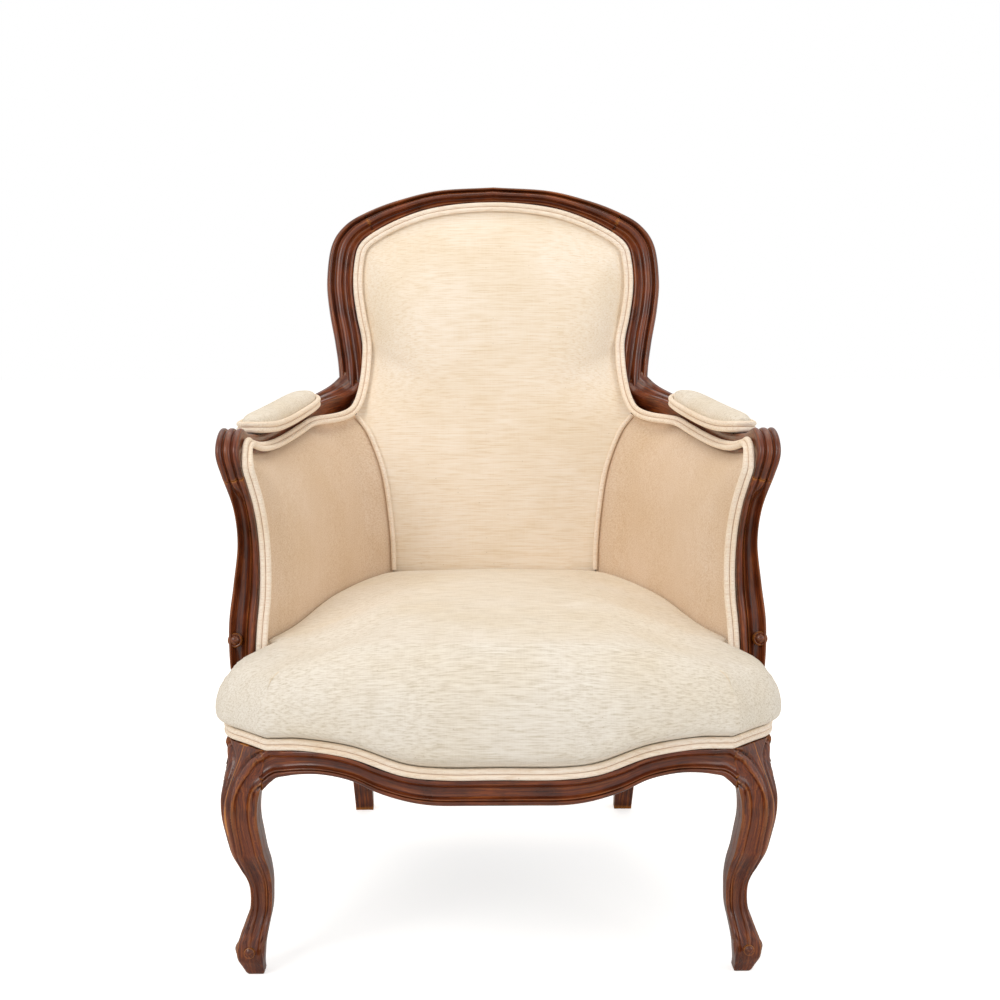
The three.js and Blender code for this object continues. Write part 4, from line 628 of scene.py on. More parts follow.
frontLeg = dict(
    # shares of height, middle across, half width, reach of the outer corner along the diagonal
    line=[[0, 0.96, 0.43, 2], [0.035, 0.968, 0.5, 2], [0.078, 0.975, 0.62, 2], [0.13, 0.974, 0.66, 2],
          [0.2, 0.957, 0.6, 2], [0.27, 0.939, 0.54, 2], [0.35, 0.936, 0.54, 2], [0.405, 0.941, 0.6, 2],
          [0.475, 0.957, 0.72, 1.8], [0.54, 0.975, 0.8, 1.65], [0.61, 0.987, 0.84, 1.55],
          [0.7, 0.999, 0.87, 1.45], [0.78, 1, 0.92, 1.3], [0.85, 0.991, 0.98, 1.05], [0.93, 0.982, 1, 0.55],
          [1, 0.978, 1, 0.12]],
    # half of the carved outline, from the inner edge to the outer corner; the other half mirrors it
    face=[[1, -0.55], [1, -0.8], [0.96, -0.93], [0.85, -1], [0.4, -1], [-0.1, -1], [-0.6, -1], [-0.8, -0.97],
          [-0.9, -0.9]],
    rear=[[-0.55, 1], [0, 0.98], [0.8, 0.95], [0.94, 0.9], [1, 0.8], [1.02, 0.4], [1.02, -0.2]],
    # the moulding's upper line down the leg: across (inner side positive), height
    upper=[[1, 0.992], [0.55, 0.973], [0.15, 0.94], [-0.1, 0.903], [-0.28, 0.865], [-0.39, 0.82],
           [-0.43, 0.765], [-0.44, 0.69], [-0.46, 0.62], [-0.53, 0.56], [-0.64, 0.5], [-0.7, 0.44],
           [-0.68, 0.38], [-0.62, 0.32], [-0.56, 0.26], [-0.46, 0.2], [-0.3, 0.15], [-0.1, 0.115]],
    archHeight=0.82, forward=1.3, rest=0.974, scrollHeight=0.112, cornerBlend=0.06,
    # between these shares of height: carving starts, corners go sharp, carving reaches its full depth
    carvedFrom=(0.06, 0.15), sharpFrom=(0.1, 0.2), fullFrom=(0.5, 0.85), thinDepth=0.6)
railMould = resample(seatRails["profile"], 55)


def legRow(high):
    table = np.array(frontLeg["line"], float)
    step = np.interp(high, table[:, 0], np.arange(len(table)))
    _, middle, half, corner = curveAt(table, step)[0]
    across = -middle * chair["legReach"]
    depth = -(middle - frontLeg["rest"]) * chair["legReach"] * frontLeg["forward"]
    return across, depth, half * timber["legHalf"], corner


frontRows = resample(seatRails["front"], 110, False)
railLine = np.array([[x * chair["legReach"], chair["railHeight"] - dip * chair["railDip"],
                      chair["railHeight"] - dip * chair["railDip"] - high * timber["railShow"]]
                     for x, _, dip, high in frontRows[::-1]])
legHeights = np.linspace(frontLeg["archHeight"], 0, 120)
innerEdge = np.array([[legRow(h)[0] + legRow(h)[2], h * chair["railHeight"]] for h in legHeights])
outerEdge = np.array([[legRow(h)[0] + p * legRow(h)[2], h * chair["railHeight"]]
                      for p, h in resample(frontLeg["upper"], 140)])
mouldLow = resample(np.vstack([railLine[:-6, [0, 2]], innerEdge]), 700)
mouldHigh = resample(np.vstack([railLine[:-3, [0, 1]], outerEdge]), 700)


# Depth of the carving at points of the face, seen from the front: x and height
def carvedAt(x, z):
    spot = np.column_stack([x, z])[:, None]
    toLow = np.linalg.norm(spot - mouldLow[None], axis=2).min(1)
    away = np.linalg.norm(spot - mouldHigh[None], axis=2)
    near = away.argmin(1)
    toHigh = away.min(1)
    way = np.gradient(mouldHigh, axis=0)[near]
    side = spot[:, 0] - mouldHigh[near]
    within = side[:, 0] * -way[:, 1] + side[:, 1] * way[:, 0] > 0
    inside = np.interp(toLow / np.maximum(toLow + toHigh, 1e-6), railMould[:, 0], railMould[:, 1])
    beyond = np.array(seatRails["beyond"])
    return np.where(within, inside, np.interp(toHigh, beyond[:, 0], beyond[:, 1]))


def legRing(high):
    across, depth, half, corner = legRow(high)
    face = resample(frontLeg["face"], 64)
    face = np.vstack([face, face[::-1][:, ::-1]])
    whole = np.vstack([face, resample(frontLeg["rear"], 36)])
    reach, blend = -whole.sum(1), frontLeg["cornerBlend"]
    held = -blend * np.log(np.exp(-reach / blend) + np.exp(-corner / blend))
    whole = whole + ((reach - held) / 2)[:, None]
    faceCount = len(face)
    part = whole[:faceCount]
    seen = np.maximum(part[:, 0], part[:, 1])
    other = np.minimum(part[:, 0], part[:, 1])
    depthShare = carvedAt(across + seen * half, np.full(faceCount, high * chair["railHeight"]))
    # above the foot the carving itself rounds the corners, so that it runs on over the joint with the rails
    sharp = smooth(high, *frontLeg["sharpFrom"])
    fade = mix(frontLeg["thinDepth"], 1, smooth(high, *frontLeg["fullFrom"]))
    fade = smooth(high, *frontLeg["carvedFrom"]) * fade
    fade = fade * mix(smooth(-other, 0.3, 0.7), 1, sharp)
    tangent = unit(np.gradient(part, axis=0))
    inward = np.column_stack([-tangent[:, 1], tangent[:, 0]])
    inward = inward * np.sign(np.sum(inward * (vec(0.3, 0.3) - part), 1, keepdims=True))
    beside = (seen > 0.6)[:, None]
    straight = np.where((part[:, :1] > part[:, 1:]), vec(0, 1), vec(1, 0))
    inward = unit(np.where(beside, mix(inward, straight, sharp), inward))
    part = np.where(beside & (part > 0.6), mix(part, np.minimum(0.6 + (part - 0.6) * 1.6, 1), sharp), part)
    edge = np.minimum(np.arange(faceCount), np.arange(faceCount)[::-1]) / 6
    sunk = depthShare * timber["mould"] / half * fade * mix(np.clip(edge, 0, 1), 1, sharp)
    whole[:faceCount] = part + inward * sunk[:, None]
    return np.column_stack([across + whole[:, 0] * half, depth + whole[:, 1] * half,
                            np.full(len(whole), high * chair["railHeight"])])


def legRings():
    rings = [legRing(h) for h in np.concatenate([np.linspace(0, 0.7, 90), np.linspace(0.705, 1, 70)])]
    low = rings[0] - vec(rings[0][:, 0].mean(), rings[0][:, 1].mean(), 0)
    rings[0] = rings[0] - low * vec(0.08, 0.08, 0)
    across, depth, _, _ = legRow(1)
    inset = timber["legHalf"] - timber["tenonHalf"]
    plain = (rings[-1] - vec(across, depth, 0)) * vec(1, 1, 0) * timber["tenonHalf"] / timber["legHalf"]
    for z in (chair["railHeight"] + 0.4, chair["railHeight"] + timber["railTuck"]):
        rings.append(plain + vec(across + inset, depth + inset, z))
    return np.array(rings)


legBody = legRings()
# the scrolls that end the moulding above the foot, one on each face
scrollX, scrollY, scrollHalf, _ = legRow(frontLeg["scrollHeight"])
scrollPlace = vec(scrollX, scrollY, frontLeg["scrollHeight"] * chair["railHeight"])
scrolls = [buttonOf(scrollPlace - scrollHalf * vec(*off), unit(vec(*face)), vec(*side), *button["scroll"])
           for off, face, side in (((0.02, 0.96, 0), (0, -1, 0.1), (1, 0, 0)),
                                   ((0.96, 0.02, 0), (-1, 0, 0.1), (0, 1, 0)))]
pairOf("leg_show_wood", joined([bodyOf(legBody), *scrolls]), woodLook, ["front_leg"])
print("front legs made")


def railSection(top, show, thick, carved):
    roof = chair["railHeight"] + timber["railTuck"]
    section = [[v * timber["mould"], top - show + u * show] for u, v in zip(railMould[:, 0], carved)]
    section += [[timber["rebateDepth"], top], [timber["rebateDepth"], roof - 3],
                [timber["rebateDepth"] + 3, roof], [thick - 2, roof], [thick, roof - 2],
                [thick, top - show + 2], [thick - 2, top - show]]
    return np.array(section)


def frontRailRow(x, bulge, dip, high):
    top, show = chair["railHeight"] - dip * chair["railDip"], high * timber["railShow"]
    place = x * chair["legReach"]
    onLeg = carvedAt(np.full(len(railMould), place), top - show + railMould[:, 0] * show)
    carved = mix(railMould[:, 1], onLeg, smooth(-x, *seatRails["carved"]))
    carved[0] = seatRails["profile"][0][1]
    section = railSection(top, show, timber["railThick"], carved)
    y = chair["railFront"] - bulge * chair["railBulge"]
    # the rail's end lies flush with the leg's face at each height
    leg = [legRow(min(max(z / chair["railHeight"], frontLeg["archHeight"]), 1)) for z in section[:, 1]]
    y = mix(y, np.array([depth - half for _, depth, half, _ in leg]), smooth(-x, *seatRails["flush"]))
    return np.column_stack([np.full(len(section), place), y + section[:, 0], section[:, 1]])


leftHalf = [frontRailRow(*row) for row in frontRows]
leftHalf = [leftHalf[0] + vec(*seatRails["tenon"]), *leftHalf]
pieceOf("front_rail_show_wood", bodyOf(mirrored(leftHalf)), woodLook, ["front_seat_rail"])

sidePost = postFrame(seatRails["joint"])[0][0]
sideFront = vec(-(chair["legReach"] + timber["legHalf"]) + timber["sideInset"], timber["sideStart"])
sideBack = vec(sidePost[0] + timber["sideInset"], sidePost[1] + timber["postDepth"] / 2)


def sideFace(way, bow):
    x = mix(sideFront[0], sideBack[0], way) - bow * timber["sideBow"]
    return vec(x, mix(sideFront[1], sideBack[1], way), 0)


sideBody = []
for way, bow, high in resample(seatRails["side"], 60, False):
    section = railSection(chair["railHeight"], high * timber["railShow"], timber["sideThick"],
                          railMould[:, 1])
    spot = sideFace(way, bow)
    sideBody.append(np.column_stack([spot[0] + section[:, 0], np.full(len(section), spot[1]), section[:, 1]]))
pairOf("side_rail_show_wood", bodyOf(sideBody), woodLook, ["side_seat_rail"])

# The back rail is plain with eased edges
postWide, postDeep = postFrame(seatRails["joint"])[4][0][:2]
backRailY, easing = sidePost[1] + postDeep * 0.15, seatRails["easing"]
backRailHalf = -sidePost[0] - postWide * 0.55
nearY, farY = backRailY + easing, backRailY + timber["sideThick"] - easing
lowZ = chair["railHeight"] - timber["railShow"] + easing
highZ = chair["railHeight"] + timber["railTuck"] - easing
easedEdge = [[y + easing * math.cos(turn), z + easing * math.sin(turn)]
             for y, z, start in ((nearY, lowZ, 180), (farY, lowZ, 270), (farY, highZ, 0), (nearY, highZ, 90))
             for turn in np.radians(np.linspace(start, start + 90, 5))]
rearBody = [[[x, y, z] for y, z in easedEdge] for x in np.linspace(-backRailHalf, backRailHalf, 25)]
pieceOf("rear_rail_wood", bodyOf(rearBody), woodLook, ["rear_seat_rail"])
dressNodes(["lower_back_rail", "left_front_corner_block", "right_front_corner_block",
            "left_rear_corner_block", "right_rear_corner_block"], rawBeech)
print("rails made")

# Insides of the arms: a skin spanned between the post, the arm, the back and the floor
# Floor and seam rows are shares of the arm's reach, the seat's depth and, for the seam, the arm's rise
tub = dict(floor=[[-0.812, 0.33], [-0.766, 0.455], [-0.7, 0.6], [-0.62, 0.73], [-0.52, 0.86]],
           seam=[[-0.427, 0.935, 0.135], [-0.433, 0.945, 0.32], [-0.44, 0.957, 0.47], [-0.474, 0.99, 0.7],
                 [-0.54, 1.03, 0.86], [-0.607, 1.062, 0.936]], edge=0.12, pull=0.3, pullWaves=(60, 3, 4),
           onPost=(7.6, 8.8))
seamPoints = np.array([[x * chair["armReach"], y * chair["seatDepth"],
                        chair["railHeight"] + z * armRise] for x, y, z in tub["seam"]])
seamPoints[0, 2] = tubFloor


def armCoverEdge(steps):
    place, face, inner, wide, thick, _ = armFrame(steps)
    onPost = smooth(np.asarray(steps, float), *tub["onPost"])
    behindWelt = mix(-0.3 * thick, thick / 2 - cloth["cord"] - 2 * chair["clearance"], onPost)
    return place + inner * (wide / 2 + 2 * chair["clearance"])[:, None] + face * behindWelt[:, None]


tubFront = armCoverEdge([14.6, 13.5, 12.5, 11.5, 10.5, 9.5, 8.8])
tubTop = np.vstack([armCoverEdge([8.8, 7.2, 6.2, 5, 4, 3, 2.2]), seamPoints[-1:]])
tubBase = np.vstack([tubFront[:1] * vec(1, 1, 0) + vec(0, 0, tubFloor),
                     [[x * chair["armReach"], y * chair["seatDepth"], tubFloor] for x, y in tub["floor"]],
                     seamPoints[:1]])


def at(points, shares, even=True):
    return curveAt(points, np.asarray(shares, float) * (len(points) - 1), even)


# Surface spanned between four edges, on a grid of shares
def spanned(front, rear, base, top, columns, rows, evenRear=True):
    c, u = np.asarray(columns)[None, :, None], np.asarray(rows)[:, None, None]
    ruled = (at(front, rows)[:, None] * (1 - c) + at(rear, rows, evenRear)[:, None] * c
             + at(base, columns)[None] * (1 - u) + at(top, columns)[None] * u)
    low, high = (at(line, [0])[None] * (1 - c) + at(line, [1])[None] * c for line in (base, top))
    return ruled - low * (1 - u) - high * u


def tubSurface(columns, rows):
    return spanned(tubFront, seamPoints, tubBase, tubTop, columns, rows, False)


def tubSwell(columns, rows):
    c, u = np.asarray(columns)[None, :], np.asarray(rows)[:, None]
    swell = cloth["armSwell"]
    for share in (c / 0.4, (1 - c) / 0.8, (1 - u) / 0.35):
        swell = swell * np.sin(math.pi / 2 * np.minimum(share, 1))
    return swell


def tubGrid(columns, rows, depth):
    columns = np.asarray(columns, float)
    step = 0.02
    across = (tubSurface(np.minimum(columns + step, 1), rows)
              - tubSurface(np.maximum(columns - step, 0), rows))
    outward = unit(np.stack([-across[..., 1], across[..., 0], np.zeros(across.shape[:2])], -1))
    return tubSurface(columns, rows) + outward * (depth - tubSwell(columns, rows))[..., None]


tubColumns, tubRows = np.linspace(0, 1, 64), np.linspace(0, 1, 56)
tubFace = tubGrid(tubColumns, tubRows, 0)
# the fill thins out over this share of the cloth at each edge
inland = [smooth(np.minimum(np.minimum(shares, 1 - shares) / tub["edge"], 1), 0, 1)
          for shares in (tubRows, tubColumns)]
inland = np.minimum.outer(*inland)
# small pulls in the cloth where it is tacked along the top and the post
many, bent, slow = tub["pullWaves"]
pulls = tub["pull"] * np.sin(tubColumns[None] * many + bent * np.sin(tubRows[:, None] * slow)) * (1 - inland)
tubBack = tubGrid(tubColumns, tubRows, mix(cloth["thick"], cloth["armFill"], inland))
tubFace = tubFace + (tubBack - tubFace) / cloth["armFill"] * pulls[..., None]
armTubBody = slabOf(tubFace, tubBack)
for piece in pairOf("inside_arm_upholstery", armTubBody, armLook,
                    ["inside_arm_cover", "inside_arm_stuffing"]):
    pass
print("insides of the arms made")

# Inside of the back: rings from the middle out to the frame
backPad = dict(middle=0.92 * chair["waist"], rings=46, rear=(1, 0.75, 0.4, 0.05))


def backOutline(reach):
    edge = seamPoints[0]
    floor = [vec(edge[0] * s, edge[1] - cloth["backCrown"] * 0.1 * (1 - s), edge[2]) for s in (0, 0.5)]
    seam = [at(seamPoints, [t], False)[0] + vec(cloth["seamTuck"] + reach * 0.8, 0, 0)
            for t in (0, 0.4, 0.65, 0.82, 0.95)]
    place, _, behind, inward, values = postFrame([8.6, 8, 7, 6, 5, 4, 3.15, 2.3, 1.6, 0.8, 0])
    depth = timber["rebateDepth"] - 2 * chair["clearance"] - cloth["thick"]
    frameEdge = place + inward * (values[:, :1] + 3 * chair["clearance"] + reach) + behind * depth
    return np.vstack([floor, seam, frameEdge])


def fineOutline(points):
    floor = resample(points[:3], 14, False)
    rest = resample(points[2:], 110)
    return mirrored(np.vstack([floor, rest[1:]]))[:-1]


backEdge = fineOutline(backOutline(0))
backFlat = fineOutline(backOutline(2 * cloth["cord"] + 4 * chair["clearance"]))


def backRing(share):
    z = mix(backPad["middle"], backFlat[:, 2], share)
    forward = mix(cloth["backCrown"], rakedFace(backFlat[:, 2]) - backFlat[:, 1], share ** 4)
    return np.column_stack([backFlat[:, 0] * share, rakedFace(z) - forward, z])


backShares = 1 - (1 - np.linspace(0.02, 1, backPad["rings"])) ** 1.25
backRear = timber["rebateDepth"] - 3.5 * chair["clearance"]
backRings = [*(backRing(s) for s in backShares), backEdge, backEdge + vec(0, cloth["thick"], 0)]
for s in backPad["rear"]:
    flat = backRing(s)
    backRings.append(np.column_stack([flat[:, 0], rakedFace(flat[:, 2]) + backRear, flat[:, 2]]))
backBody = bodyOf(backRings)
insideBack = pieceOf("inside_back_upholstery", backBody, wallLook, ["inside_back_cover", "back_stuffing"])
print("inside of the back made")

# Welts: cords in cloth that cover the tacked edges
welt = dict(radius=cloth["cord"] / 2, corners=14, opening=166, meet=0.98, onPost=(7.4, 8.8))


# Two cords side by side, and one round cord
turns = np.radians(np.linspace(welt["opening"], -welt["opening"], 19))
right = np.column_stack([1 + welt["meet"] * np.cos(turns), welt["meet"] * np.sin(turns)])
doubleCord = np.vstack([right, right[::-1] * vec(-1, 1)]) * welt["radius"]
turns = np.linspace(0, 2 * math.pi, welt["corners"] + 1)[:-1]
roundCord = np.column_stack([np.cos(turns), np.sin(turns)]) * welt["radius"]


# A cord along stations; each row holds a place and the way the cord faces
def weltBody(stations, section, fine, loop=False):
    stations = np.asarray(stations, float)
    if loop:
        stations = np.vstack([stations[-2:], stations, stations[:3]])
        rows = curveAt(stations, np.linspace(2, len(stations) - 3, fine)[:-1], True)
    else:
        rows = resample(stations, fine)
    place, face = rows[:, :3], rows[:, 3:]
    if loop:
        along = unit(np.roll(place, -1, 0) - np.roll(place, 1, 0))
    else:
        along = unit(np.gradient(place, axis=0))
    up = squareTo(face, along)
    across = np.cross(along, up)
    rings = [[p + a * s + u * f for s, f in section] for p, a, u in zip(place, across, up)]
    return bodyOf(rings, loop)


def armWelt(step):
    place, face, inner, wide, thick, _ = (v[0] for v in armFrame(step))
    onPost = float(smooth(step, *welt["onPost"]))
    turn = face * mix(0.7, 1, onPost) + inner * mix(0.7, 0, onPost)
    raised = mix(0, thick / 2 - welt["radius"], onPost)
    reach = wide / 2 + 2.5 * chair["clearance"] + cloth["cord"]
    return np.concatenate([place + inner * reach + face * raised, turn])


def frameWelt(step):
    place, _, behind, inward, values = (v[0] for v in postFrame(step))
    depth = timber["rebateDepth"] - 3 * chair["clearance"] - cloth["thick"] - welt["radius"]
    return np.concatenate([place + inward * (values[0] + 2 * chair["clearance"] + cloth["cord"])
                           + behind * depth, -behind])


ahead = unit(vec(0.35, -0.93, 0.1))
turnWelt = np.concatenate([seamPoints[-1] + ahead * 2.2 * cloth["cord"] + vec(0, 0, cloth["cord"]), ahead])
flip = (-1, 1, 1, -1, 1, 1)
halfWelt = [armWelt(s) for s in (14.1, 13.5, 12.9, 12.3, 11.5, 10.7, 9.9, 9.3, 8.8, 7.6, 7, 6.4, 5.6, 4.8, 4,
                                 3.3, 2.8)]
halfWelt.append(turnWelt)
halfWelt += [frameWelt(s) for s in (8.3, 7.4, 6.6, 5.8, 5.1, 4.5, 3.9, 3.3, 2.7, 2.1, 1.4, 0.7, 0)]
insideWeltBody = weltBody(mirrored(halfWelt, flip), doubleCord, 620)
pieceOf("inside_double_cord", insideWeltBody, cordLook, ["inside_double_welt"])

seamAhead = unit(vec(0.36, -0.93, 0))
seamStations = [np.concatenate([at(seamPoints, [t], False)[0] + seamAhead * welt["radius"] * 1.7, seamAhead])
                for t in (0.2, 0.28, 0.36, 0.48, 0.6, 0.72, 0.83, 0.97)]
seamBody = weltBody(seamStations, roundCord, 90)
pairOf("seam_cord", seamBody, cordLook, ["seam_welt"])

# Seat: lines from the middle out to the rail or down beside the arm and the back
# Corners and the place beside the post are shares of leg or arm reach and seat depth. The edges hold a reach
# outward, in rolls over the rail and in cords beside the arm, and a share of the drop from the brim
seat = dict(corners=[[-0.888, -0.061], [-0.932, -0.034], [-0.986, 0], [-1.044, 0.036], [-1.074, 0.08],
                     [-1.078, 0.17]],
            beside=[-0.86, 0.225], middle=0.44 * chair["seatDepth"],
            overRail=[[-2.6, 0], [-1.5, 0.11], [-0.15, 0.29], [0.9, 0.55], [1, 0.86], [0, 0.965]],
            besideArm=[[-4.3, 0], [0, 0.014], [1, 0.08], [1, 0.27], [1, 0.44], [1, 0.6], [1, 0.83], [1, 1]],
            topRows=18, edgeRows=34, columns=260, domeWide=350, domeDeep=310, core=60, hollow=3,
            hollowPlace=250, hollowSize=(150, 120), under=(0.93, 0.6, 0.2, 0.03), cornerAcross=(0.6, 1),
            cornerAhead=(-0.75, -0.1))


def seatStations():
    rows = [r for i, r in enumerate(seatRails["front"][:0:-1]) if i % 2 == 0 or i > 7]
    spots = [[vec(x * chair["legReach"], chair["railFront"] - b * chair["railBulge"]),
              chair["railHeight"] - d * chair["railDip"], True] for x, b, d, _ in rows]
    spots += [[vec(x * chair["legReach"], y * chair["seatDepth"]), chair["railHeight"], True]
              for x, y in seat["corners"]]
    inside = [seat["beside"], *tub["floor"]]
    spots += [[vec(x * chair["armReach"], y * chair["seatDepth"]), tubFloor, False] for x, y in inside]
    spots += [[seamPoints[0][:2], tubFloor, False], [vec(0, seamPoints[0][1]), tubFloor, False]]
    for i, spot in enumerate(spots):
        before, after = spots[max(i - 1, 0)][0], spots[min(i + 1, len(spots) - 1)][0]
        if i in (0, len(spots) - 1):
            out = vec(0, np.sign(i - 1))
        else:
            way = after - before
            out = unit(vec(-way[1], way[0]))
        if np.dot(out, spot[0] - vec(0, seat["middle"])) < 0:
            out = -out
        spot.append(out)
    return spots


seatSpots = seatStations()


def seatLine(spot):
    place, lip, isOpen, out = spot
    brim = chair["seatHeight"] - cloth["sideDrop"] * abs(place[0]) / chair["legReach"]
    toCorner = (smooth(abs(place[0]) / chair["legReach"], *seat["cornerAcross"])
                * smooth(-place[1] / chair["seatDepth"], *seat["cornerAhead"]))
    brim = brim - cloth["cornerDrop"] * toCorner
    tuck = timber["rebateDepth"] - 3 * chair["clearance"] - cloth["thick"]
    weltTop = lip + 2 * cloth["cord"]
    if isOpen:
        roll = cloth["edgeRoll"] * (1 - 0.3 * toCorner)
        edge = [[o * roll, mix(brim, weltTop, d)] for o, d in seat["overRail"]]
        edge += [[-tuck, weltTop], [-tuck, lip + 2 * chair["clearance"]]]
    else:
        edge = [[o * cloth["cord"], mix(brim, lip, d)] for o, d in seat["besideArm"]]
    edge = [vec(*(place + out * o), z) for o, z in edge[1:]]
    top = []
    for s in np.linspace(0.02, 0.82, seat["topRows"]):
        x, y = place[0] * s, mix(seat["middle"], place[1], s)
        dome = (1 - (x / seat["domeWide"]) ** 2) * (1 - ((y - seat["middle"]) / seat["domeDeep"]) ** 2)
        level = (chair["seatHeight"] - cloth["sideDrop"] * (x / chair["legReach"]) ** 2
                 + cloth["seatCrown"] * dome)
        top.append(vec(x, y, mix(level, brim + cloth["seatCrown"] * (1 - s ** 2), smooth(s, 0.4, 0.82))))
    return np.vstack([top, resample(np.vstack([top[-1:], edge]), seat["edgeRows"])[1:]])


seatLines = np.array([seatLine(spot) for spot in seatSpots])
stationSteps = np.linspace(0, len(seatLines) - 1, seat["columns"] // 2)
seatHalf = np.stack([curveAt(seatLines[:, k], stationSteps, False) for k in range(seatLines.shape[1])])
seatGrid = np.concatenate([seatHalf, seatHalf[:, 1:-1][:, ::-1] * vec(-1, 1, 1)], 1)


# The seat presses against the arms, the back and the arm posts and stops at their surfaces
def treeOf(body):
    return BVHTree.FromPolygons([tuple(p) for p in body[0]], [tuple(f) for f in body[1]])


neighbours = [treeOf(b) for b in (armTubBody, mirrorOf(*armTubBody), armPostBody, mirrorOf(*armPostBody),
                                  backBody, insideWeltBody, seamBody, mirrorOf(*seamBody))]


def besideRows(share):
    return np.vstack([share[:1], share[:-1]]), np.vstack([share[1:], share[-1:]])


# Shares of each point's reach: least among neighbours, then evened out, so that the cloth bends, not tears
def pressedIn(grid, gap=0.6, spread=2):
    share = np.ones(grid.shape[:2])
    for i in range(grid.shape[0]):
        for j in range(grid.shape[1]):
            x, y, z = grid[i, j]
            ray = Vector((x, y - seat["middle"], 0))
            reach = ray.length
            if reach < seat["core"]:
                continue
            ray.normalize()
            hits = [t.ray_cast(Vector((0, seat["middle"], z)), ray, reach + gap)[3] for t in neighbours]
            near = min([h for h in hits if h is not None], default=None)
            if near is not None:
                share[i, j] = min((near - gap) / reach, 1)
    for _ in range(spread):
        up, down = besideRows(share)
        share = np.minimum.reduce([share, np.roll(share, 1, 1), np.roll(share, -1, 1), up, down])
    for _ in range(spread):
        up, down = besideRows(share)
        share = (2 * share + np.roll(share, 1, 1) + np.roll(share, -1, 1) + up + down) / 6
    middle = vec(0, seat["middle"], 0) + grid * vec(0, 0, 1)
    return mix(middle, grid, share[..., None])


seatGrid = pressedIn(seatGrid)
# a slight hollow where people sit
sit = np.exp(-((seatGrid[..., 0] / seat["hollowSize"][0]) ** 2
               + ((seatGrid[..., 1] - seat["hollowPlace"]) / seat["hollowSize"][1]) ** 2)) * seat["hollow"]
onTop = np.clip((seatGrid[..., 2] - (chair["seatHeight"] - 14)) / 10, 0, 1)
seatGrid[..., 2] -= sit * onTop
underRings = []
for share in seat["under"]:
    base = seatGrid[-1] * vec(share, 1, 0)
    base[:, 1] = mix(seat["middle"], seatGrid[-1][:, 1], share)
    base[:, 2] = chair["railHeight"] + timber["railTuck"] + 1
    underRings.append(base)
seatBody = bodyOf(np.concatenate([seatGrid, underRings]))
seatPiece = pieceOf("seat_upholstery", seatBody, seatLook, ["seat_cover", "seat_stuffing"])
print("seat made")

# Welts round the seat and the outside back
weltLift = cloth["cord"] + 3 * chair["clearance"]
weltDepth = timber["rebateDepth"] - 5 * chair["clearance"] - cloth["thick"] - welt["radius"]


def sideAt(way):
    rows = np.array(seatRails["side"], float)
    return sideFace(way, np.interp(way, rows[:, 0], rows[:, 1])) + vec(0, 0, chair["railHeight"])


seatWelt = [[*(place - out * weltDepth), lip + weltLift, *out, 0] for place, lip, isOpen, out in seatSpots
            if isOpen]
seatWelt += [[*(sideAt(w) + vec(weltDepth, 0, weltLift)), -1, 0, 0]
             for w in (0.16, 0.3, 0.5, 0.7, 0.88, 0.96)]
pieceOf("seat_double_cord", weltBody(mirrored(seatWelt[::-1], flip), doubleCord, 420), cordLook,
        ["seat_double_welt"])

panelDepth = 0.8 * timber["postDepth"]
backWelt = []
for step in (11.2, 10, 8.6, 7.4, 6.4, 5.6, 4.9, 4.3, 3.8, 3.2, 2.6, 2, 1.4, 0.7, 0):
    place, _, _, inward, values = (v[0] for v in postFrame(step))
    spot = place + inward * (values[0] + timber["rebate"] + 6 * chair["clearance"] + welt["radius"])
    spot = spot + rakedBack * (panelDepth + cloth["thick"] + chair["clearance"] + welt["radius"])
    backWelt.append(np.concatenate([spot, rakedBack]))
pieceOf("outside_back_cord", weltBody(mirrored(backWelt, flip), roundCord, 360), cordLook,
        ["outside_back_welt"])
print("welts made")

# Outside arm covers: a skin spanned like the insides
outside = dict(ways=[0.3, 0.5, 0.7], rises=[0.025, 0.2, 0.45, 0.7, 0.97], edge=0.025)


# Line on the far side of the arm's wood, moved outward by a share of its width
def underArm(steps, outward):
    place, face, inner, wide, thick, _ = armFrame(steps)
    return place - inner * (wide * outward)[:, None] - face * (thick / 2 + chair["clearance"])[:, None]


def outsideArmEdges():
    front = underArm([14.4, 13.5, 12.5, 11.5, 10.5, 9.8], 0.2)
    top = underArm([6.6, 5.5, 4.5, 3.5, 2.5, 1.7], 0.25)
    place, _, behind, inward, values = postFrame([12.9, 12, 11, 10.2, 9.6])
    rear = place - inward * (chair["clearance"] + cloth["thick"]) + behind * (values[:, 1:2] * 0.35)
    over = vec(timber["rebateDepth"] - 2 * chair["clearance"] - cloth["thick"], 0,
               weltLift + cloth["cord"] + chair["clearance"])
    base = np.array([sideAt(w) + over for w in (0.17, 0.35, 0.55, 0.75, 0.93)])
    front[0], rear[0] = base[0], base[4]
    cornerPoint = mix(front[5], top[0], 0.3)
    cornerPoint[2] = top[0][2]
    endPoint = mix(rear[4], top[5], 0.5)
    return (np.vstack([front[:5], cornerPoint]), np.vstack([rear[:4], endPoint]), base,
            np.vstack([cornerPoint, top[1:5], endPoint]))


outsideArmEdge = outsideArmEdges()


def outsideGrid(ways, rises):
    return spanned(*outsideArmEdge, ways, rises)


panelGrid = outsideGrid(np.linspace(0, 1, 50), np.linspace(0, 1, 40))
outsideArms = pairOf("outside_arm_cloth", slabOf(panelGrid, panelGrid + vec(cloth["thick"], 0, 0)), wallLook,
                     ["outside_arm_cover"])


edge = outside["edge"]
weltPlaces = [(edge, u) for u in outside["rises"]] + [(w, 1 - edge) for w in outside["ways"]]
weltPlaces += [(1 - edge, u) for u in outside["rises"][::-1]]
liftStations = [np.concatenate([outsideGrid([w], [u])[0, 0] - vec(welt["radius"] + chair["clearance"], 0, 0),
                                [-1, 0, 0]]) for w, u in weltPlaces]
pairOf("outside_arm_cord", weltBody(liftStations, roundCord, 200), cordLook, ["outside_arm_welt"])

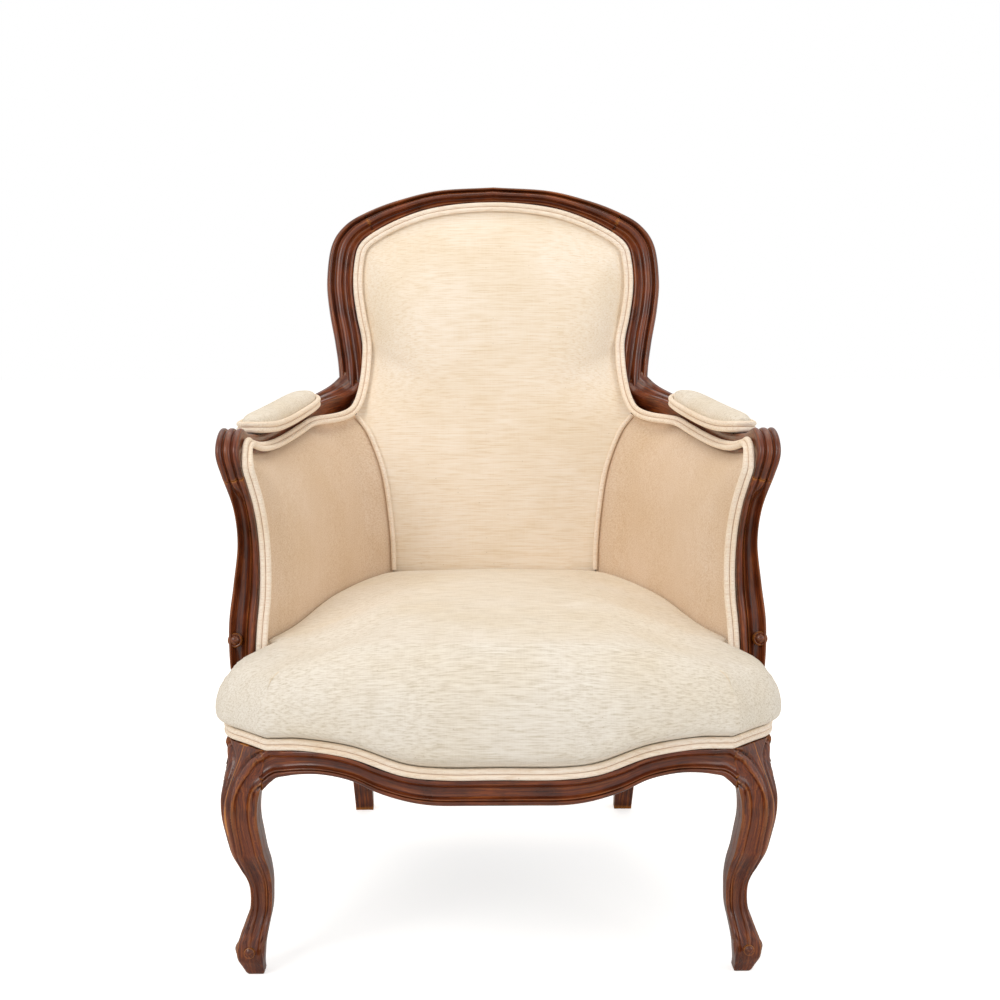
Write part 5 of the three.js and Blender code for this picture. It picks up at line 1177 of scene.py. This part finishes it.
# Outside back: one panel in the raked plane
place, _, _, inward, values = postFrame([9.4, 8, 7, 6, 5, 4, 3.15, 2.3, 1.6, 0.8, 0])
panelReach = timber["rebate"] * 0.93 + 2 * chair["clearance"]
panelLine = place + inward * (values[:, :1] + panelReach)
footPlace, _, _, _, footValues = (v[0] for v in postFrame(11.3))
panelLow = chair["railHeight"] + timber["railTuck"] + chair["rake"] * timber["postDepth"]
footX = footPlace[0] + footValues[0] + panelReach - timber["rebate"] * 0.2
panelSide = resample(np.vstack([[footX, 0, panelLow], panelLine]), 90)
backGrid = mirrored([panelSide * vec(1 - share, 0, 1) for share in np.linspace(0, 1, 26)])
backGrid[..., 1] = rakedFace(backGrid[..., 2])
bow = 2 * np.outer(*(np.sin(np.pi * np.linspace(0, 1, count)) for count in backGrid.shape[:2]))
nearGrid = backGrid + rakedBack * (panelDepth - bow[..., None])
farGrid = nearGrid + rakedBack * cloth["thick"]
outsideBack = pieceOf("outside_back_cloth", slabOf(nearGrid, farGrid), wallLook, ["outside_back_cover"])
print("outside covers made")

# Arm pads: rows of way along the arm, share of width, share of height
pad = dict(rows=[[0, 0.36, 0.66], [0.05, 0.7, 0.82], [0.16, 0.94, 0.96], [0.38, 1, 1], [0.62, 1, 1],
                 [0.84, 0.94, 0.96], [0.95, 0.7, 0.82], [1, 0.36, 0.66]], start=2.35, end=5.35, shift=6)


def padFrame(way):
    place, face, inner, _, thick, _ = (v[0] for v in armFrame(mix(pad["start"], pad["end"], way)))
    return place + face * (thick / 2 + 3 * chair["clearance"]) + inner * pad["shift"], face, inner


def padBody():
    band = 2 * cloth["cord"]
    rings = []
    for way, wide, high in resample(pad["rows"], 46):
        base, face, inner = padFrame(way)
        half = wide * cloth["padWide"] / 2 - welt["radius"]
        top = high * cloth["padHigh"]
        section = mirrored([[-0.97, 0], [-1, band * 0.4], [-1, band * 0.8], [-0.93, mix(band, top, 0.32)],
                            [-0.72, mix(band, top, 0.7)], [-0.4, mix(band, top, 0.92)], [0, top]], (-1, 1))
        rings.append([base + inner * b * half + face * n for b, n in resample(section, 37)])
    return bodyOf(rings)


def padWeltBody():
    stations = []
    for sign, rows in ((1, pad["rows"]), (-1, pad["rows"][::-1])):
        for way, wide, _ in rows:
            base, face, inner = padFrame(way)
            reach = wide * cloth["padWide"] / 2 + 2 * chair["clearance"]
            stations.append(np.concatenate([base + inner * sign * reach
                                            + face * (chair["clearance"] + cloth["cord"]), inner * sign]))
        way, shift = (1, -1) if sign == 1 else (0, 1)
        base, face, inner = padFrame(way)
        along = unit(np.cross(face, inner))
        out = along if along[1] * shift > 0 else -along
        stations.append(np.concatenate([base + out * (welt["radius"] + 2 * chair["clearance"])
                                        + face * (chair["clearance"] + cloth["cord"]), out]))
    return weltBody(stations, doubleCord, 150, True)


for piece in pairOf("arm_pad", padBody(), seatLook, ["arm_pad_cover", "arm_pad_stuffing"]):
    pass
pairOf("arm_pad_cord", padWeltBody(), cordLook, ["arm_pad_welt"])
print("arm pads made")

# Under the seat: dust cover, and the solids that keep their shape
under = dict(webTop=chair["railHeight"] - 0.55 * timber["railShow"], webThick=2.4, clothThick=1.6, count=40,
             sag=4)
railInner = np.array([[x * chair["legReach"],
                       chair["railFront"] - b * chair["railBulge"] + timber["railThick"] + 0.6]
                      for x, b, _, _ in resample(seatRails["front"], 30, False)])
railInner = railInner[railInner[:, 0] > -0.86 * chair["legReach"]]
innerFront = mirrored(railInner, (-1, 1))
columns = np.linspace(0, 1, under["count"])
frontLine = np.array([[x, np.interp(x, innerFront[:, 0], innerFront[:, 1])]
                      for x in mix(innerFront[0, 0], innerFront[-1, 0], columns)])
rearX = -(sideBack[0] + timber["sideThick"] * 0.2) - 24
rearLine = np.column_stack([mix(-rearX, rearX, columns), np.full(under["count"], backRailY - 0.8)])
dustTop = under["webTop"] - under["webThick"] - chair["clearance"]
dustGrid = np.array([np.column_stack([mix(frontLine, rearLine, s), np.full(under["count"], dustTop)])
                     for s in columns])
dustGrid[..., 2] -= under["sag"] * np.outer(np.sin(np.pi * columns), np.sin(np.pi * columns))
dust = pieceOf("dust_cloth", slabOf(dustGrid, dustGrid - vec(0, 0, under["clothThick"])), dustLook,
               ["dust_cover"])
dressNodes(["seat_webbing", "back_webbing", "seat_burlap"], jute)
dressNodes([f"seat_spring_{number}" for number in range(1, 10)], wire)
print("underside made")

# Floor, light and camera
# In metres. Each lamp has a name, a place, the height it looks at, a size, a power and a colour
studio = dict(floor="#F4F3F1", floorHalf=9, floorLevel=-0.0005, world=0.53, floorLift=0.62,
              lamps=[["keyLamp", (-1.9, -2.2, 2.3), 0.5, 1.4, 37, "#FFFCF8"],
                     ["fillLamp", (2.4, -1.6, 1.6), 0.5, 1.6, 17.5, "#FFFFFF"],
                     ["topLamp", (0, 0.4, 3.0), 0.4, 2.2, 27, "#FFF1DE"]])
floorMesh = bpy.data.meshes.new("studio_floor")
floorMesh.from_pydata([(x * studio["floorHalf"], y * studio["floorHalf"], studio["floorLevel"])
                       for x, y in ((-1, -1), (1, -1), (1, 1), (-1, 1))], [], [(0, 1, 2, 3)])
floor = bpy.data.objects.new("studio_floor", floorMesh)
bpy.context.scene.collection.objects.link(floor)
# Matt paper that the camera sees a little brighter than it is lit
floorMaterial, floorTree = newMaterial("paleFloor")
floorShader = addNode(floorTree, "BsdfDiffuse", None, {"Color": hexLinear(studio["floor"])})
floorRays = addNode(floorTree, "LightPath").outputs
lift = mathOf(floorTree, "MULTIPLY", floorRays["Is Camera Ray"], studio["floorLift"])
floorGlow = addNode(floorTree, "Emission", None, {"Color": hexLinear("#FFFFFF"), "Strength": lift})
floorBoth = addNode(floorTree, "AddShader", None, {0: floorShader.outputs[0], 1: floorGlow.outputs[0]})
addNode(floorTree, "OutputMaterial", None, {"Surface": floorBoth.outputs[0]})
floorMesh.materials.append(floorMaterial)

# White behind everything that the camera sees directly or in a gloss, dimmer as a light
world = bpy.data.worlds.new("studioWorld")
bpy.context.scene.world = world
world.use_nodes = True
worldTree = world.node_tree
worldTree.nodes.clear()
rays = addNode(worldTree, "LightPath").outputs
seen = mathOf(worldTree, "MAXIMUM", rays["Is Camera Ray"], rays["Is Glossy Ray"])
seen = mathOf(worldTree, "MAXIMUM", seen, rays["Is Transmission Ray"])
plainLight, whiteBack = (addNode(worldTree, "Background", None, {"Color": hexLinear("#FFFFFF"),
                                                                 "Strength": strength})
                         for strength in (studio["world"], 1.0))
blended = addNode(worldTree, "MixShader", None, {0: seen, 1: plainLight.outputs[0], 2: whiteBack.outputs[0]})
addNode(worldTree, "OutputWorld", None, {"Surface": blended.outputs[0]})

for name, place, target, size, power, colour in studio["lamps"]:
    light = bpy.data.lights.new(name, "AREA")
    light.shape = "RECTANGLE"
    light.size = light.size_y = size
    light.energy = power
    light.color = hexLinear(colour)[:3]
    lamp = bpy.data.objects.new(name, light)
    bpy.context.scene.collection.objects.link(lamp)
    lamp.location = place
    lamp.rotation_euler = (Vector((0, 0, target)) - Vector(place)).to_track_quat("-Z", "Y").to_euler()

view = dict(place=(-28, -1767, 845), pixels=1560, down=8.8, right=0.81, shift=(0.003, 0.001), sensor=36,
            near=0.05, far=60)
cameraData = bpy.data.cameras.new("photoCamera")
cameraData.sensor_width = view["sensor"]
cameraData.lens = view["pixels"] * view["sensor"] / 1000
cameraData.shift_x, cameraData.shift_y = view["shift"]
cameraData.clip_start, cameraData.clip_end = view["near"], view["far"]
camera = bpy.data.objects.new("photoCamera", cameraData)
bpy.context.scene.collection.objects.link(camera)
camera.location = (vec(*view["place"]) + vec(0, shiftY, 0)) / 1000
camera.rotation_euler = (math.radians(90 - view["down"]), 0, -math.radians(view["right"]))
bpy.context.scene.camera = camera
bpy.context.scene.view_settings.view_transform = "Standard"
print("studio and camera made")
